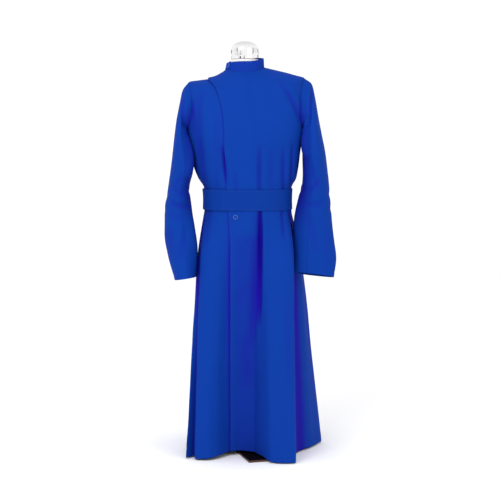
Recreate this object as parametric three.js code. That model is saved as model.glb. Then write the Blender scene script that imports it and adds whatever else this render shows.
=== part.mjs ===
// A double-breasted cassock with its own belt, worn by a limbless dress form on a flat stand.
// Millimetres. +Z is up, the front faces -Y, the wearer's left is +X, and the floor is z = 0.
// Every cloth piece is a wall cut from one smooth surface, which is found by an angle and a level:
// the angle runs round the body from the front centre towards the wearer's left, in degrees,
// and the level counts down the rows of LEVELS, then on to the thigh and the hem.

import * as THREE from "three";

// Cloth and seams
const CLOTH = 2;
const SEAM = 0.3;
const UNDERLAP = 90;
const LAP_EASE = 2.8;
const LAP_FADE_DEGREES = 16;

// Belt, collar and buttons
const BELT_GAP = 0.6;
const BELT_TOP_LEVEL = 11.03;
const BELT_BOTTOM_LEVEL = 12.87;
const BELT_START = -60;
const BELT_SWEEP = 388;
const COLLAR_START = -50;
const COLLAR_SWEEP = 382;
const OVERLAP_RAMP_DEGREES = 40;
const BUTTON_RADIUS = 8.5;
const BUTTON_HEIGHT = 3;
const BUTTON_GAP = 0.5;
const WAIST_BUTTON = { angle: -18.3, level: 13.12 };
const COLLAR_BUTTON = { angle: -60, height: 0.42 };

// Dress form and stand
const FORM_EASE = 0.85;
const NECK_RADIUS = 49;
const NECK_TOP = 1368;
const NECK_X = -4;
const DOME_TOP = 1431;
const FORM_BOTTOM = 740;
const POLE_RADIUS = 16;
const FOOT_THICKNESS = 7;
const FOOT_REACHES = [228, 185, 200, 185];
const FOOT_HALF_WIDTH = 54;
const FOOT_TURN = 16;

// How finely the walls are divided
const ARMHOLE_STEPS = 8;
const LAP_COLUMNS = 8;
const OUTER_COLUMNS = 8;
const REST_COLUMNS = 14;
const BACK_COLUMNS = 17;
const SLEEVE_ROWS_PER_SECTION = 1;
const FORM_COLUMNS = 28;
const ROUND = 28;

// Rows of values under named columns, as a list of records
function table(columns, rows) {
  return rows.map((row) => Object.fromEntries(columns.map((column, i) => [column, row[i]])));
}

// Rings of the body from the neckline to the foot of the belt. Heights are given at the right side, the left
// side, the front and the back, then how far the ring reaches each way, how square it is, and where the
// lapped edge crosses it.
const LEVELS = table(
  ["name", "rightZ", "leftZ", "frontZ", "backZ", "right", "left", "front", "back", "square", "lapX"],
  [
    ["neckline", 1332, 1340, 1322, 1346, 75, 64, 66, 64, 2.0, -70],
    ["shoulder inner", 1312, 1334, 1294, 1324, 97, 92, 82, 79, 2.0, -94],
    ["lap corner", 1302, 1326, 1264, 1300, 127, 126, 95, 92, 2.05, -126],
    ["mid shoulder", 1298, 1316, 1235, 1274, 160, 166, 104, 101, 2.1, -106],
    ["shoulder point", 1291, 1303, 1196, 1240, 198, 205, 112, 110, 2.2, -90],
    ["cap line", 1240, 1247, 1160, 1200, 206, 207, 121, 117, 2.35, -79],
    ["mid armhole", 1175, 1176, 1130, 1155, 206, 205, 127, 121, 2.5, -75],
    ["underarm", 1110, 1110, 1095, 1104, 203, 199, 128, 119, 2.55, -74],
    ["chest", 1050, 1050, 1050, 1050, 192, 189, 124, 114, 2.5, -74],
    ["ribs", 1000, 1000, 1000, 1000, 183, 183, 118, 108, 2.4, -72],
    ["blouse", 958, 958, 958, 958, 168, 176, 114, 104, 2.35, -69],
    ["belt top", 922, 922, 922, 922, 148, 160, 111, 101, 2.3, -66],
    ["belt middle", 884, 884, 884, 884, 145, 158.5, 110, 100, 2.3, -64],
    ["belt foot", 843, 843, 843, 843, 146, 160, 110, 100, 2.3, -61],
  ],
);
const SHOULDER_POINT = 4;
const UNDERARM = 7;
const LAP_CORNER = 2;
const WAIST = LEVELS.length - 1;
const THIGH = WAIST + 1;
const HEM = WAIST + 2;
const THIGH_Z = 700;
const ARMHOLE_HALF_ANGLE = 18.5;
const RIDGE = 2.4;

// Fold lines of the skirt: the angle each has at the belt, where it passes at thigh height, and where it ends
// at the hem
const FOLDS = table(
  ["name", "angle", "thighX", "thighY", "hemX", "hemY", "hemZ"],
  [
    ["centre back", -180, 0, 138, -5, 258, 7],
    ["right back dip", -160, -56, 126, -72, 202, 10],
    ["right back crest", -141, -108, 126, -135, 222, 7],
    ["right back valley", -123, -142, 84, -170, 120, 10],
    ["right flare", -107, -165, 34, -213, 44, 7],
    ["right side", -95, -168, -14, -209, -54, 8],
    ["right outer crest", -85, -166, -50, -206, -182, 5],
    ["right valley", -77, -158, -74, -178, -153, 6],
    ["right front crest", -67, -155, -96, -175, -196, 5],
    ["right front face", -56, -127, -116, -136, -207, 8],
    ["right front slope", -44, -95, -120, -104, -192, 11],
    ["lapped edge", -30.4, -54, -117, -55, -134, 17],
    ["front centre", -8, -15, -115, -15, -120, 16],
    ["valley edge", 12, 24, -115, 28, -128, 13],
    ["pleat wall", 24, 48, -120, 52, -178, 13],
    ["left front turn", 34, 75, -133, 86, -240, 5],
    ["left front face", 48, 118, -132, 124, -252, 4],
    ["left front crest", 68, 164, -106, 166, -250, 4],
    ["left valley", 79, 158, -50, 176, -116, 6],
    ["left side", 90, 185, 6, 236, -16, 6],
    ["left flare", 108, 191, 52, 271, 76, 6],
    ["left back valley", 126, 141, 96, 185, 150, 9],
    ["left back crest", 144, 109, 130, 140, 238, 7],
    ["left back dip", 162, 57, 129, 66, 205, 10],
  ],
);

// Creases pressed into the front and back: where each runs, how wide and how deep it is
const CREASES = table(
  ["name", "face", "topX", "topZ", "footX", "footZ", "halfWidth", "depth"],
  [
    ["right chest crease", -1, -160, 1210, -143, 935, 15, 7],
    ["waist crease", -1, 50, 1060, 54, 915, 12, 7],
    ["left waist crease", -1, 124, 1040, 130, 915, 12, 6],
    ["pleat under the belt", -1, 49, 850, 49, 480, 13, 14],
    ["left pleat under the belt", -1, 128, 850, 140, 740, 12, 6],
    ["right back waist crease", 1, -58, 1060, -52, 915, 14, 6],
    ["left back waist crease", 1, 62, 1050, 56, 915, 14, 6],
  ],
);

// Sections of the sleeves, from the armhole to the cuff: the inner and the outer point of each, seen from the
// front, its place in depth, half its depth, and how much its front stands above its back
const SLEEVE_COLUMNS = ["name", "innerX", "innerZ", "outerX", "outerZ", "y", "halfDepth", "rise"];
const LEFT_SLEEVE = table(SLEEVE_COLUMNS, [
  ["armhole", 199, 1110, 205, 1303, 0, 62, 0],
  ["cap top", 202.5, 1118, 229, 1284, 0, 70, 0],
  ["cap", 205, 1116, 241, 1236, -1, 76, 0],
  ["cap foot", 204.5, 1104, 252, 1174, -6, 79, 0],
  ["underarm", 200, 1080, 265, 1108, -13, 80, 0],
  ["upper arm", 197, 1040, 277, 1046, -15, 78, 0],
  ["above elbow", 198.5, 974, 286, 970, -12, 72, 0],
  ["elbow", 192, 905, 293, 900, -12, 66, 0],
  ["forearm", 178, 820, 302, 808, -18, 57, 4],
  ["lower forearm", 170, 745, 309, 735, -36, 46, 6],
  ["above cuff", 166, 688, 315, 678, -50, 38, 6],
  ["cuff", 163, 632, 306, 615, -64, 28, 6],
]);
const RIGHT_SLEEVE = table(SLEEVE_COLUMNS, [
  ["armhole", 203, 1110, 198, 1291, 0, 62, 0],
  ["cap top", 206, 1118, 219, 1262, 0, 70, 0],
  ["cap", 208, 1116, 229, 1222, -1, 76, 0],
  ["cap foot", 209, 1104, 241, 1164, -6, 80, 0],
  ["underarm", 203, 1082, 249, 1106, -15, 82, 0],
  ["upper arm", 191.5, 1040, 256, 1044, -25, 80, 0],
  ["above elbow", 183.5, 984, 264, 980, -27, 76, 0],
  ["elbow", 196, 925, 273, 912, -24, 71, 1],
  ["bend", 189, 856, 284, 840, -24, 66, 2],
  ["forearm", 180, 785, 284, 768, -30, 62, 4],
  ["lower forearm", 173, 705, 272, 692, -50, 60, 5],
  ["cuff", 173, 617, 247, 606, -75, 57, 4],
]);
const SLEEVE_SEAM_ANGLE = 112.5;
const CAP_BLEND_SECTIONS = 2;

// Smooth curves through table values
const radians = THREE.MathUtils.degToRad;

// Value at x of the smooth curve through the points (xs, ys), which never overshoots them
function smoothCurve(xs, ys, x) {
  const last = xs.length - 1;
  const slope = (i) => (ys[i + 1] - ys[i]) / (xs[i + 1] - xs[i]);
  const tangent = (i) => {
    if (i === 0) return slope(0);
    if (i === last) return slope(last - 1);
    const before = slope(i - 1);
    const after = slope(i);
    return before * after <= 0 ? 0 : (2 * before * after) / (before + after);
  };
  let i = 0;
  while (i < last - 1 && x > xs[i + 1]) i += 1;
  const span = xs[i + 1] - xs[i];
  const t = (x - xs[i]) / span;
  const t2 = t * t;
  const t3 = t2 * t;
  return (
    (2 * t3 - 3 * t2 + 1) * ys[i] +
    (t3 - 2 * t2 + t) * span * tangent(i) +
    (3 * t2 - 2 * t3) * ys[i + 1] +
    (t3 - t2) * span * tangent(i + 1)
  );
}

// Every named column of a table at a place between its rows, counted in rows
function between(rows, place) {
  const steps = rows.map((row, i) => i);
  const record = {};
  for (const column of Object.keys(rows[0])) {
    if (column !== "name") record[column] = smoothCurve(steps, rows.map((row) => row[column]), place);
  }
  return record;
}

// Surface of the body
// Angle brought into -180 to 180
const wrapped = (angle) => THREE.MathUtils.euclideanModulo(angle + 180, 360) - 180;

// Point of one ring at an angle
function ringPoint(ring, angle) {
  const s = Math.sin(radians(angle));
  const c = Math.cos(radians(angle));
  const across = s < 0 ? ring.right : ring.left;
  const deep = c > 0 ? ring.front : ring.back;
  const reach = ((Math.abs(s) / across) ** ring.square + (Math.abs(c) / deep) ** ring.square) ** (-1 / ring.square);
  const sideZ = s < 0 ? ring.rightZ : ring.leftZ;
  const centreZ = c > 0 ? ring.frontZ : ring.backZ;
  const z = centreZ + (sideZ - centreZ) * Math.abs(s) ** RIDGE;
  return new THREE.Vector3(reach * s, -reach * c, z);
}

// The fold lines once round, with one more on each side so that the curve closes smoothly
const FOLD_RING = [-1, ...FOLDS.keys(), FOLDS.length, FOLDS.length + 1].map((i) => {
  const turns = Math.floor(i / FOLDS.length);
  const fold = FOLDS[i - turns * FOLDS.length];
  return { ...fold, angle: fold.angle + 360 * turns };
});

// A fold column, such as hemX, at any angle
function foldValue(column, angle) {
  return smoothCurve(
    FOLD_RING.map((fold) => fold.angle),
    FOLD_RING.map((fold) => fold[column]),
    wrapped(angle),
  );
}

// Depth of all creases at a point, with soft ends
function creaseDepth(point) {
  let depth = 0;
  for (const crease of CREASES) {
    if (Math.sign(point.y) !== crease.face) continue;
    const along = (crease.topZ - point.z) / (crease.topZ - crease.footZ);
    if (along <= 0 || along >= 1) continue;
    const aside = (point.x - THREE.MathUtils.lerp(crease.topX, crease.footX, along)) / crease.halfWidth;
    depth += crease.depth * Math.sin(Math.PI * along) ** 0.7 * Math.exp(-aside * aside);
  }
  return depth;
}

// Point on the body's surface at an angle and a level
function bodyPoint(angle, level) {
  let point;
  if (level <= WAIST) {
    point = ringPoint(between(LEVELS, level), angle);
  } else {
    const waist = ringPoint(LEVELS[WAIST], angle);
    const down = (top, thigh, hem) => smoothCurve([WAIST, THIGH, HEM], [top, thigh, hem], level);
    point = new THREE.Vector3(
      down(waist.x, foldValue("thighX", angle), foldValue("hemX", angle)),
      down(waist.y, foldValue("thighY", angle), foldValue("hemY", angle)),
      down(waist.z, THIGH_Z, foldValue("hemZ", angle)),
    );
  }
  const depth = creaseDepth(point);
  point.y -= Math.sign(point.y) * depth;
  return point;
}

// Outward normal of any surface(u, v) whose u runs towards the wearer's left and v downwards
function outward(surface, u, v, du, dv, vMin, vMax) {
  const across = surface(u + du, v).sub(surface(u - du, v));
  const down = surface(u, Math.min(v + dv, vMax)).sub(surface(u, Math.max(v - dv, vMin)));
  return down.cross(across).normalize();
}
const bodyNormal = (angle, level) => outward(bodyPoint, angle, level, 1, 0.05, 0, HEM);

// Millimetres of cloth for each degree round the body
function clothPerDegree(angle, level) {
  return bodyPoint(angle + 0.5, level).distanceTo(bodyPoint(angle - 0.5, level));
}

// Lines that bound the panels
const levelSteps = LEVELS.map((row, i) => i);

// Angle of the place on the front of a level that lies at x
function frontAngle(ring, x) {
  const across = x < 0 ? ring.right : ring.left;
  const share = Math.min(Math.abs(x) / across, 1) ** ring.square;
  const y = ring.front * (1 - share) ** (1 / ring.square);
  return THREE.MathUtils.radToDeg(Math.atan2(x, y));
}

// Angle of the lapped edge at a level
function lapAngle(level) {
  if (level <= LAP_CORNER) return -90;
  return smoothCurve(levelSteps, LEVELS.map((row) => frontAngle(row, row.lapX)), Math.min(level, WAIST));
}

// Angle of the hidden edge of the piece beneath at a level
function underEdgeAngle(level) {
  const hidden = LEVELS.map((row) => frontAngle(row, Math.max(row.lapX, -106) + UNDERLAP));
  return smoothCurve(levelSteps, hidden, Math.min(level, WAIST));
}

// How far the armhole reaches from the side line at a level, in degrees
function armholeHalfAngle(level) {
  const t = (level - SHOULDER_POINT) / (UNDERARM - SHOULDER_POINT);
  return t <= 0 || t >= 1 ? 0 : ARMHOLE_HALF_ANGLE * Math.sqrt(1 - (2 * t - 1) ** 2);
}

// Levels of the rows of every panel. Those along the armhole are the ones the sleeve is divided by.
const armholeLevel = (turn) => SHOULDER_POINT + ((UNDERARM - SHOULDER_POINT) * (1 - Math.cos(turn))) / 2;
const ARMHOLE_LEVELS = Array.from({ length: ARMHOLE_STEPS + 1 }, (_, i) => armholeLevel((Math.PI * i) / ARMHOLE_STEPS));
const PANEL_LEVELS = [0, 1, 2, 2.2, 2.45, 2.7, 3, ...ARMHOLE_LEVELS, 8, 9, 10, 11, 12, 13, 13.3, 13.65, 14, 14.25, 14.5, 14.75, 15];

// Meshes
// One closed body from rows of outer points and the matching rows of inner points
function wallGeometry(outer, inner) {
  const rows = outer.length;
  const columns = outer[0].length;
  const positions = [...outer.flat(), ...inner.flat()].flatMap((point) => point.toArray());
  const faces = [];
  const quad = (a, b, c, d) => faces.push(a, b, c, a, c, d);
  const at = (i, j, side) => side * rows * columns + i * columns + j;
  for (let i = 0; i < rows - 1; i += 1) {
    for (let j = 0; j < columns - 1; j += 1) {
      quad(at(i, j, 0), at(i + 1, j, 0), at(i + 1, j + 1, 0), at(i, j + 1, 0));
      quad(at(i, j, 1), at(i, j + 1, 1), at(i + 1, j + 1, 1), at(i + 1, j, 1));
    }
    quad(at(i, 0, 0), at(i, 0, 1), at(i + 1, 0, 1), at(i + 1, 0, 0));
    quad(at(i, columns - 1, 0), at(i + 1, columns - 1, 0), at(i + 1, columns - 1, 1), at(i, columns - 1, 1));
  }
  for (let j = 0; j < columns - 1; j += 1) {
    quad(at(0, j, 0), at(0, j + 1, 0), at(0, j + 1, 1), at(0, j, 1));
    quad(at(rows - 1, j, 0), at(rows - 1, j, 1), at(rows - 1, j + 1, 1), at(rows - 1, j + 1, 0));
  }
  return closedGeometry(positions, faces);
}

// Geometry whose faces point outwards whichever way its rows ran
function closedGeometry(positions, faces) {
  const corner = (i) => new THREE.Vector3().fromArray(positions, 3 * i);
  let volume = 0;
  for (let i = 0; i < faces.length; i += 3) {
    volume += corner(faces[i]).dot(corner(faces[i + 1]).cross(corner(faces[i + 2])));
  }
  const index = volume < 0 ? faces.toReversed() : faces;
  const geometry = new THREE.BufferGeometry();
  geometry.setAttribute("position", new THREE.Float32BufferAttribute(positions, 3));
  geometry.setIndex(index);
  geometry.computeVertexNormals();
  return geometry;
}

// Wall along rows of places, each place giving its point and its normal, moved out by lift
function wallFromPlaces(rows) {
  const outer = rows.map((row) => row.map(({ point, normal, lift }) => point.clone().addScaledVector(normal, lift)));
  const inner = rows.map((row) =>
    row.map(({ point, normal, lift }) => point.clone().addScaledVector(normal, lift - CLOTH)),
  );
  return wallGeometry(outer, inner);
}

// A count of equal steps from a to b, both ends included
const steps = (a, b, count) => Array.from({ length: count + 1 }, (_, i) => a + ((b - a) * i) / count);

// Cloth panel of the body: angles(level) gives its columns at each level
function panel(angles, lift = () => 0, levels = PANEL_LEVELS) {
  const rows = levels.map((level) => {
    const list = angles(level);
    const half = SEAM / 2;
    list[0] += half / clothPerDegree(list[0], level);
    list[list.length - 1] -= half / clothPerDegree(list.at(-1), level);
    return list.map((angle) => ({
      point: bodyPoint(angle, level),
      normal: bodyNormal(angle, level),
      lift: lift(angle, level),
    }));
  });
  return wallFromPlaces(rows);
}

// How far the lapping front stands off the one beneath, easing down past that one's hidden edge
function lapLift(angle, level) {
  const past = (angle - underEdgeAngle(level) - 2) / LAP_FADE_DEGREES;
  const near = THREE.MathUtils.smoothstep(5 - level, 0, 2);
  return (CLOTH + SEAM + LAP_EASE * near) * (1 - THREE.MathUtils.smoothstep(past, 0, 1));
}

function frontOver() {
  const angles = (level) => [
    ...steps(lapAngle(level), underEdgeAngle(level), LAP_COLUMNS),
    ...steps(underEdgeAngle(level), 90 - armholeHalfAngle(level), REST_COLUMNS).slice(1),
  ];
  const levels = [0.06, ...PANEL_LEVELS.slice(1)];
  return panel(angles, lapLift, levels);
}

function frontUnder() {
  const angles = (level) => {
    const outerEdge = -90 + armholeHalfAngle(level);
    const hidden = underEdgeAngle(level);
    const even = outerEdge + ((hidden - outerEdge) * OUTER_COLUMNS) / (OUTER_COLUMNS + LAP_COLUMNS);
    const lap = Math.max(even, lapAngle(level));
    return [...steps(outerEdge, lap, OUTER_COLUMNS), ...steps(lap, hidden, LAP_COLUMNS).slice(1)];
  };
  return panel(angles);
}

function backLeft() {
  return panel((level) => steps(90 + armholeHalfAngle(level), 180, BACK_COLUMNS));
}

function backRight() {
  return panel((level) => steps(-180, -90 - armholeHalfAngle(level), BACK_COLUMNS));
}

// Sleeves
// Point of the armhole's edge, turning from the shoulder point over the front to the underarm and back
function armholePoint(side, turn) {
  const angle = side * (90 - ARMHOLE_HALF_ANGLE * Math.sin(turn));
  const level = armholeLevel(turn);
  return { point: bodyPoint(angle, level), normal: bodyNormal(angle, level) };
}

// Point of the plain oval section of a sleeve
function sleeveOval(sections, side, turn, place) {
  const row = between(sections, place);
  const c = Math.cos(turn);
  const s = Math.sin(turn);
  return new THREE.Vector3(
    side * ((row.outerX + row.innerX) / 2 + ((row.outerX - row.innerX) / 2) * c),
    row.y - row.halfDepth * s,
    (row.outerZ + row.innerZ) / 2 + ((row.outerZ - row.innerZ) / 2) * c + row.rise * s,
  );
}

// Point of a sleeve, which starts on the armhole's edge and eases into its oval sections
function sleevePoint(sections, side, turn, place) {
  const point = sleeveOval(sections, side, turn, place);
  const share = 1 - THREE.MathUtils.smoothstep(place, 0, CAP_BLEND_SECTIONS);
  if (share > 0) {
    const offset = armholePoint(side, turn).point.sub(sleeveOval(sections, side, turn, 0));
    point.addScaledVector(offset, share);
  }
  return point;
}

// First row of a sleeve: a seam's width inside the armhole, square to the body's wall
function sleeveStart(side, turn) {
  const { point, normal } = armholePoint(side, turn);
  const edge = armholePoint(side, turn + 0.01).point.sub(armholePoint(side, turn - 0.01).point);
  const inwards = normal.clone().cross(edge).normalize();
  const centre = armholePoint(side, 0).point.add(armholePoint(side, Math.PI).point).multiplyScalar(0.5);
  if (inwards.dot(centre.sub(point)) < 0) inwards.negate();
  return { point: point.addScaledVector(inwards, SEAM), normal, lift: 0 };
}

// One half of a sleeve between two seam angles, in degrees round the section
function sleeveHalf(sections, side, fromDegrees, toDegrees) {
  const surface = (turn, place) => sleevePoint(sections, side, turn, place);
  const last = sections.length - 1;
  const columns = Math.round((toDegrees - fromDegrees) / (180 / ARMHOLE_STEPS));
  const rows = steps(0, last, last * SLEEVE_ROWS_PER_SECTION).map((place) => {
    const turns = steps(radians(fromDegrees), radians(toDegrees), columns);
    const perTurn = (turn) => surface(turn + 0.01, place).distanceTo(surface(turn - 0.01, place)) / 0.02;
    turns[0] += SEAM / 2 / perTurn(turns[0]);
    turns[columns] -= SEAM / 2 / perTurn(turns[columns]);
    if (place === 0) return turns.map((turn) => sleeveStart(side, turn));
    return turns.map((turn) => ({
      point: surface(turn, place),
      normal: outward(surface, turn, place, 0.02, 0.05, 0, last).multiplyScalar(-side),
      lift: 0,
    }));
  });
  return wallFromPlaces(rows);
}

const topHalf = (sections, side) => sleeveHalf(sections, side, -SLEEVE_SEAM_ANGLE, SLEEVE_SEAM_ANGLE);
const underHalf = (sections, side) => sleeveHalf(sections, side, SLEEVE_SEAM_ANGLE, 360 - SLEEVE_SEAM_ANGLE);

// Collar and belt: bands that run once round and lap over their own start
// How far a band stands in at its start, where its other end laps over it
function startInset(travelled) {
  return (CLOTH + SEAM) * (1 - THREE.MathUtils.smoothstep(travelled, OVERLAP_RAMP_DEGREES, 2 * OVERLAP_RAMP_DEGREES));
}

// A band over a surface, from its start backwards round the wearer
function band(surface, rowPlaces, startAngle, sweep, columns, lift) {
  const low = Math.min(...rowPlaces);
  const high = Math.max(...rowPlaces);
  const rows = rowPlaces.map((place) =>
    steps(0, sweep, columns).map((travelled) => {
      const angle = startAngle - travelled;
      return {
        point: surface(angle, place),
        normal: outward(surface, angle, place, 1, 0.05, low, high),
        lift: lift(angle, travelled),
      };
    }),
  );
  return wallFromPlaces(rows);
}

const COLLAR_TOP = {
  rightZ: 1356, leftZ: 1373, frontZ: 1360, backZ: 1379,
  right: 70, left: 62, front: 63, back: 61, square: 2,
};

// Point of the collar at an angle and a height from 1 at its top to 0 at the neckline
function collarPoint(angle, drop) {
  const foot = ringPoint(LEVELS[0], angle);
  foot.z += SEAM;
  return ringPoint(COLLAR_TOP, angle).lerp(foot, drop);
}

function collar() {
  return band(collarPoint, [0, 0.5, 1], COLLAR_START, COLLAR_SWEEP, 48, (angle, travelled) => -startInset(travelled));
}

// Lift of the belt's outer face, over the lapping front and over its own start
function belt() {
  const lift = (angle, travelled) => {
    const overlap = travelled > 360 - OVERLAP_RAMP_DEGREES ? 1 : 0;
    const over = THREE.MathUtils.smoothstep(travelled, 330, 356) * overlap;
    const under = Math.abs(wrapped(angle)) < 90 ? lapLift(Math.max(wrapped(angle), lapAngle(WAIST)), WAIST) : 0;
    const lapped = wrapped(angle) >= lapAngle(WAIST) - 12 ? under : 0;
    return lapped + BELT_GAP + CLOTH + over * (CLOTH + SEAM);
  };
  const places = steps(BELT_TOP_LEVEL, BELT_BOTTOM_LEVEL, 2);
  return band(bodyPoint, places, BELT_START, BELT_SWEEP, 78, lift);
}

// Buttons
function buttonGeometry() {
  const rim = 1.6;
  const profile = [
    [0, 0], [BUTTON_RADIUS - 0.8, 0], [BUTTON_RADIUS, 0.8], [BUTTON_RADIUS, BUTTON_HEIGHT - 0.8],
    [BUTTON_RADIUS - 0.8, BUTTON_HEIGHT], [BUTTON_RADIUS - rim, BUTTON_HEIGHT],
    [BUTTON_RADIUS - 2 * rim, BUTTON_HEIGHT - 1], [0, BUTTON_HEIGHT - 1],
  ];
  return new THREE.LatheGeometry(profile.map(([r, z]) => new THREE.Vector2(r, z)), 18);
}

// Stands a turned piece, whose axis is Y, on a surface point along its normal
function seat(mesh, point, normal) {
  mesh.quaternion.setFromUnitVectors(new THREE.Vector3(0, 1, 0), normal);
  mesh.position.copy(point);
}

// Dress form and stand
// Rings of the form under the cloth: the level it follows and how far inside the cloth it lies
const FORM_RINGS = table(
  ["level", "inside"],
  [
    [0, 13], [0.5, 6], [1, 2], [2, FORM_EASE], [2.45, 2.2], [3, 1.7], [4, 2.6], [5, 3], [6, 4], [7, 5],
    [8, 6], [9, 7], [10, 10], [11, 8], [12, 6], [12.8, 6],
  ],
);
const HIP_RINGS = table(
  ["z", "right", "left", "front", "back"],
  [
    [815, 130, 138, 82, 84],
    [785, 126, 134, 80, 82],
    [FORM_BOTTOM, 118, 122, 74, 76],
  ],
);

function formTorso() {
  const angles = steps(-180, 180, FORM_COLUMNS).slice(0, -1);
  const circle = (radius, z) =>
    angles.map((angle) => {
      const across = NECK_X + radius * Math.sin(radians(angle));
      return new THREE.Vector3(across, -radius * Math.cos(radians(angle)), z);
    });
  const rings = [circle(NECK_RADIUS - 2, NECK_TOP), circle(NECK_RADIUS, NECK_TOP - 3), circle(NECK_RADIUS + 1, 1345)];
  for (const { level, inside } of FORM_RINGS) {
    rings.push(
      angles.map((angle) => bodyPoint(angle, level).addScaledVector(bodyNormal(angle, level), -CLOTH - inside)),
    );
  }
  for (const hip of HIP_RINGS) {
    const ring = { ...hip, rightZ: hip.z, leftZ: hip.z, frontZ: hip.z, backZ: hip.z, square: 2.2 };
    rings.push(angles.map((angle) => ringPoint(ring, angle)));
  }
  return stackGeometry(rings);
}

// Closed body through a stack of rings, with a flat top and a flat bottom
function stackGeometry(rings) {
  const count = rings[0].length;
  const middle = (ring) => ring.reduce((sum, point) => sum.add(point), new THREE.Vector3()).divideScalar(count);
  const positions = [...rings.flat(), middle(rings[0]), middle(rings.at(-1))].flatMap((point) => point.toArray());
  const top = rings.length * count;
  const faces = [];
  for (let j = 0; j < count; j += 1) {
    const next = (j + 1) % count;
    for (let i = 0; i < rings.length - 1; i += 1) {
      const a = i * count;
      faces.push(a + j, a + count + j, a + count + next, a + j, a + count + next, a + next);
    }
    const foot = (rings.length - 1) * count;
    faces.push(top, j, next, top + 1, foot + next, foot + j);
  }
  return closedGeometry(positions, faces);
}

// Turned cap on the form's neck: a short wall, a rounded shoulder and a low dome
function neckCap() {
  const foot = NECK_TOP + SEAM;
  const wallTop = DOME_TOP - 32;
  const profile = [new THREE.Vector2(0, foot), new THREE.Vector2(NECK_RADIUS, foot)];
  for (const t of steps(0, Math.PI / 2, 7)) {
    profile.push(new THREE.Vector2(NECK_RADIUS * Math.cos(t) ** 0.8, wallTop + (DOME_TOP - wallTop) * Math.sin(t)));
  }
  return new THREE.LatheGeometry(profile, ROUND);
}

function pole() {
  const length = FORM_BOTTOM - SEAM - FOOT_THICKNESS - SEAM;
  return new THREE.CylinderGeometry(POLE_RADIUS, POLE_RADIUS, length, 20);
}

// Flat foot: four straight legs that cross at the pole, cut from one plate
function standBase() {
  const outline = new THREE.Shape();
  FOOT_REACHES.forEach((reach, leg) => {
    const turn = (2 * Math.PI * leg) / FOOT_REACHES.length;
    const corners = [
      [FOOT_HALF_WIDTH, -FOOT_HALF_WIDTH], [reach, -FOOT_HALF_WIDTH], [reach, FOOT_HALF_WIDTH],
    ];
    corners.forEach(([x, y], i) => {
      const corner = new THREE.Vector2(x, y).rotateAround(new THREE.Vector2(), turn);
      if (leg === 0 && i === 0) outline.moveTo(corner.x, corner.y);
      else outline.lineTo(corner.x, corner.y);
    });
  });
  outline.closePath();
  return new THREE.ExtrudeGeometry(outline, { depth: FOOT_THICKNESS, bevelEnabled: false });
}

// Finishes
const cloth = new THREE.MeshStandardMaterial({ color: 0x1a43ac, roughness: 0.85, metalness: 0 });
const horn = new THREE.MeshStandardMaterial({ color: 0x1c3a93, roughness: 0.4, metalness: 0 });
const chrome = new THREE.MeshStandardMaterial({ color: 0xdedcda, roughness: 0.15, metalness: 1 });
const jersey = new THREE.MeshStandardMaterial({ color: 0xd8d2c6, roughness: 0.8, metalness: 0 });
const steel = new THREE.MeshStandardMaterial({ color: 0x0c0706, roughness: 0.45, metalness: 0.3 });

const cassock = new THREE.Group();
function add(name, geometry, material) {
  const mesh = new THREE.Mesh(geometry, material);
  mesh.name = name;
  cassock.add(mesh);
  return mesh;
}

add("front_over", frontOver(), cloth);
add("front_under", frontUnder(), cloth);
add("back_left", backLeft(), cloth);
add("back_right", backRight(), cloth);
add("sleeve_left_top", topHalf(LEFT_SLEEVE, 1), cloth);
add("sleeve_left_under", underHalf(LEFT_SLEEVE, 1), cloth);
add("sleeve_right_top", topHalf(RIGHT_SLEEVE, -1), cloth);
add("sleeve_right_under", underHalf(RIGHT_SLEEVE, -1), cloth);
add("collar", collar(), cloth);
add("belt", belt(), cloth);

const waistButton = add("waist_button", buttonGeometry(), horn);
const waistNormal = bodyNormal(WAIST_BUTTON.angle, WAIST_BUTTON.level);
const waistLift = lapLift(WAIST_BUTTON.angle, WAIST_BUTTON.level) + BUTTON_GAP;
const waistPoint = bodyPoint(WAIST_BUTTON.angle, WAIST_BUTTON.level).addScaledVector(waistNormal, waistLift);
seat(waistButton, waistPoint, waistNormal);

const collarButton = add("collar_button", buttonGeometry(), horn);
const collarNormal = outward(collarPoint, COLLAR_BUTTON.angle, COLLAR_BUTTON.height, 1, 0.05, 0, 1);
const collarSeat = collarPoint(COLLAR_BUTTON.angle, COLLAR_BUTTON.height).addScaledVector(collarNormal, BUTTON_GAP);
seat(collarButton, collarSeat, collarNormal);

add("form_torso", formTorso(), jersey);
const cap = add("neck_cap", neckCap(), chrome);
cap.rotation.x = Math.PI / 2;
cap.position.x = NECK_X;
const stem = add("pole", pole(), steel);
stem.rotation.x = Math.PI / 2;
stem.position.z = FOOT_THICKNESS + SEAM + (FORM_BOTTOM - 2 * SEAM - FOOT_THICKNESS) / 2;
const foot = add("stand_base", standBase(), steel);
foot.rotation.z = radians(-90 + FOOT_TURN);

export default cassock;
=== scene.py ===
"""A royal blue double-breasted cassock with its own belt, on a limbless dress form with a flat black foot.

Tables hold millimetres and degrees, and every mesh is built in metres in the part's own frame: +Z up, the
front facing -Y, the wearer's left at +X and the floor at zero. The body's cloth is one smooth surface found
by an angle round the wearer and a level down the table of rings, and each panel is cut from it.
"""

import logging
import math
from collections.abc import Callable, Sequence
from dataclasses import dataclass, field
from enum import Enum

import bmesh
import bpy
import numpy as np
from mathutils import Matrix, Vector


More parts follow.
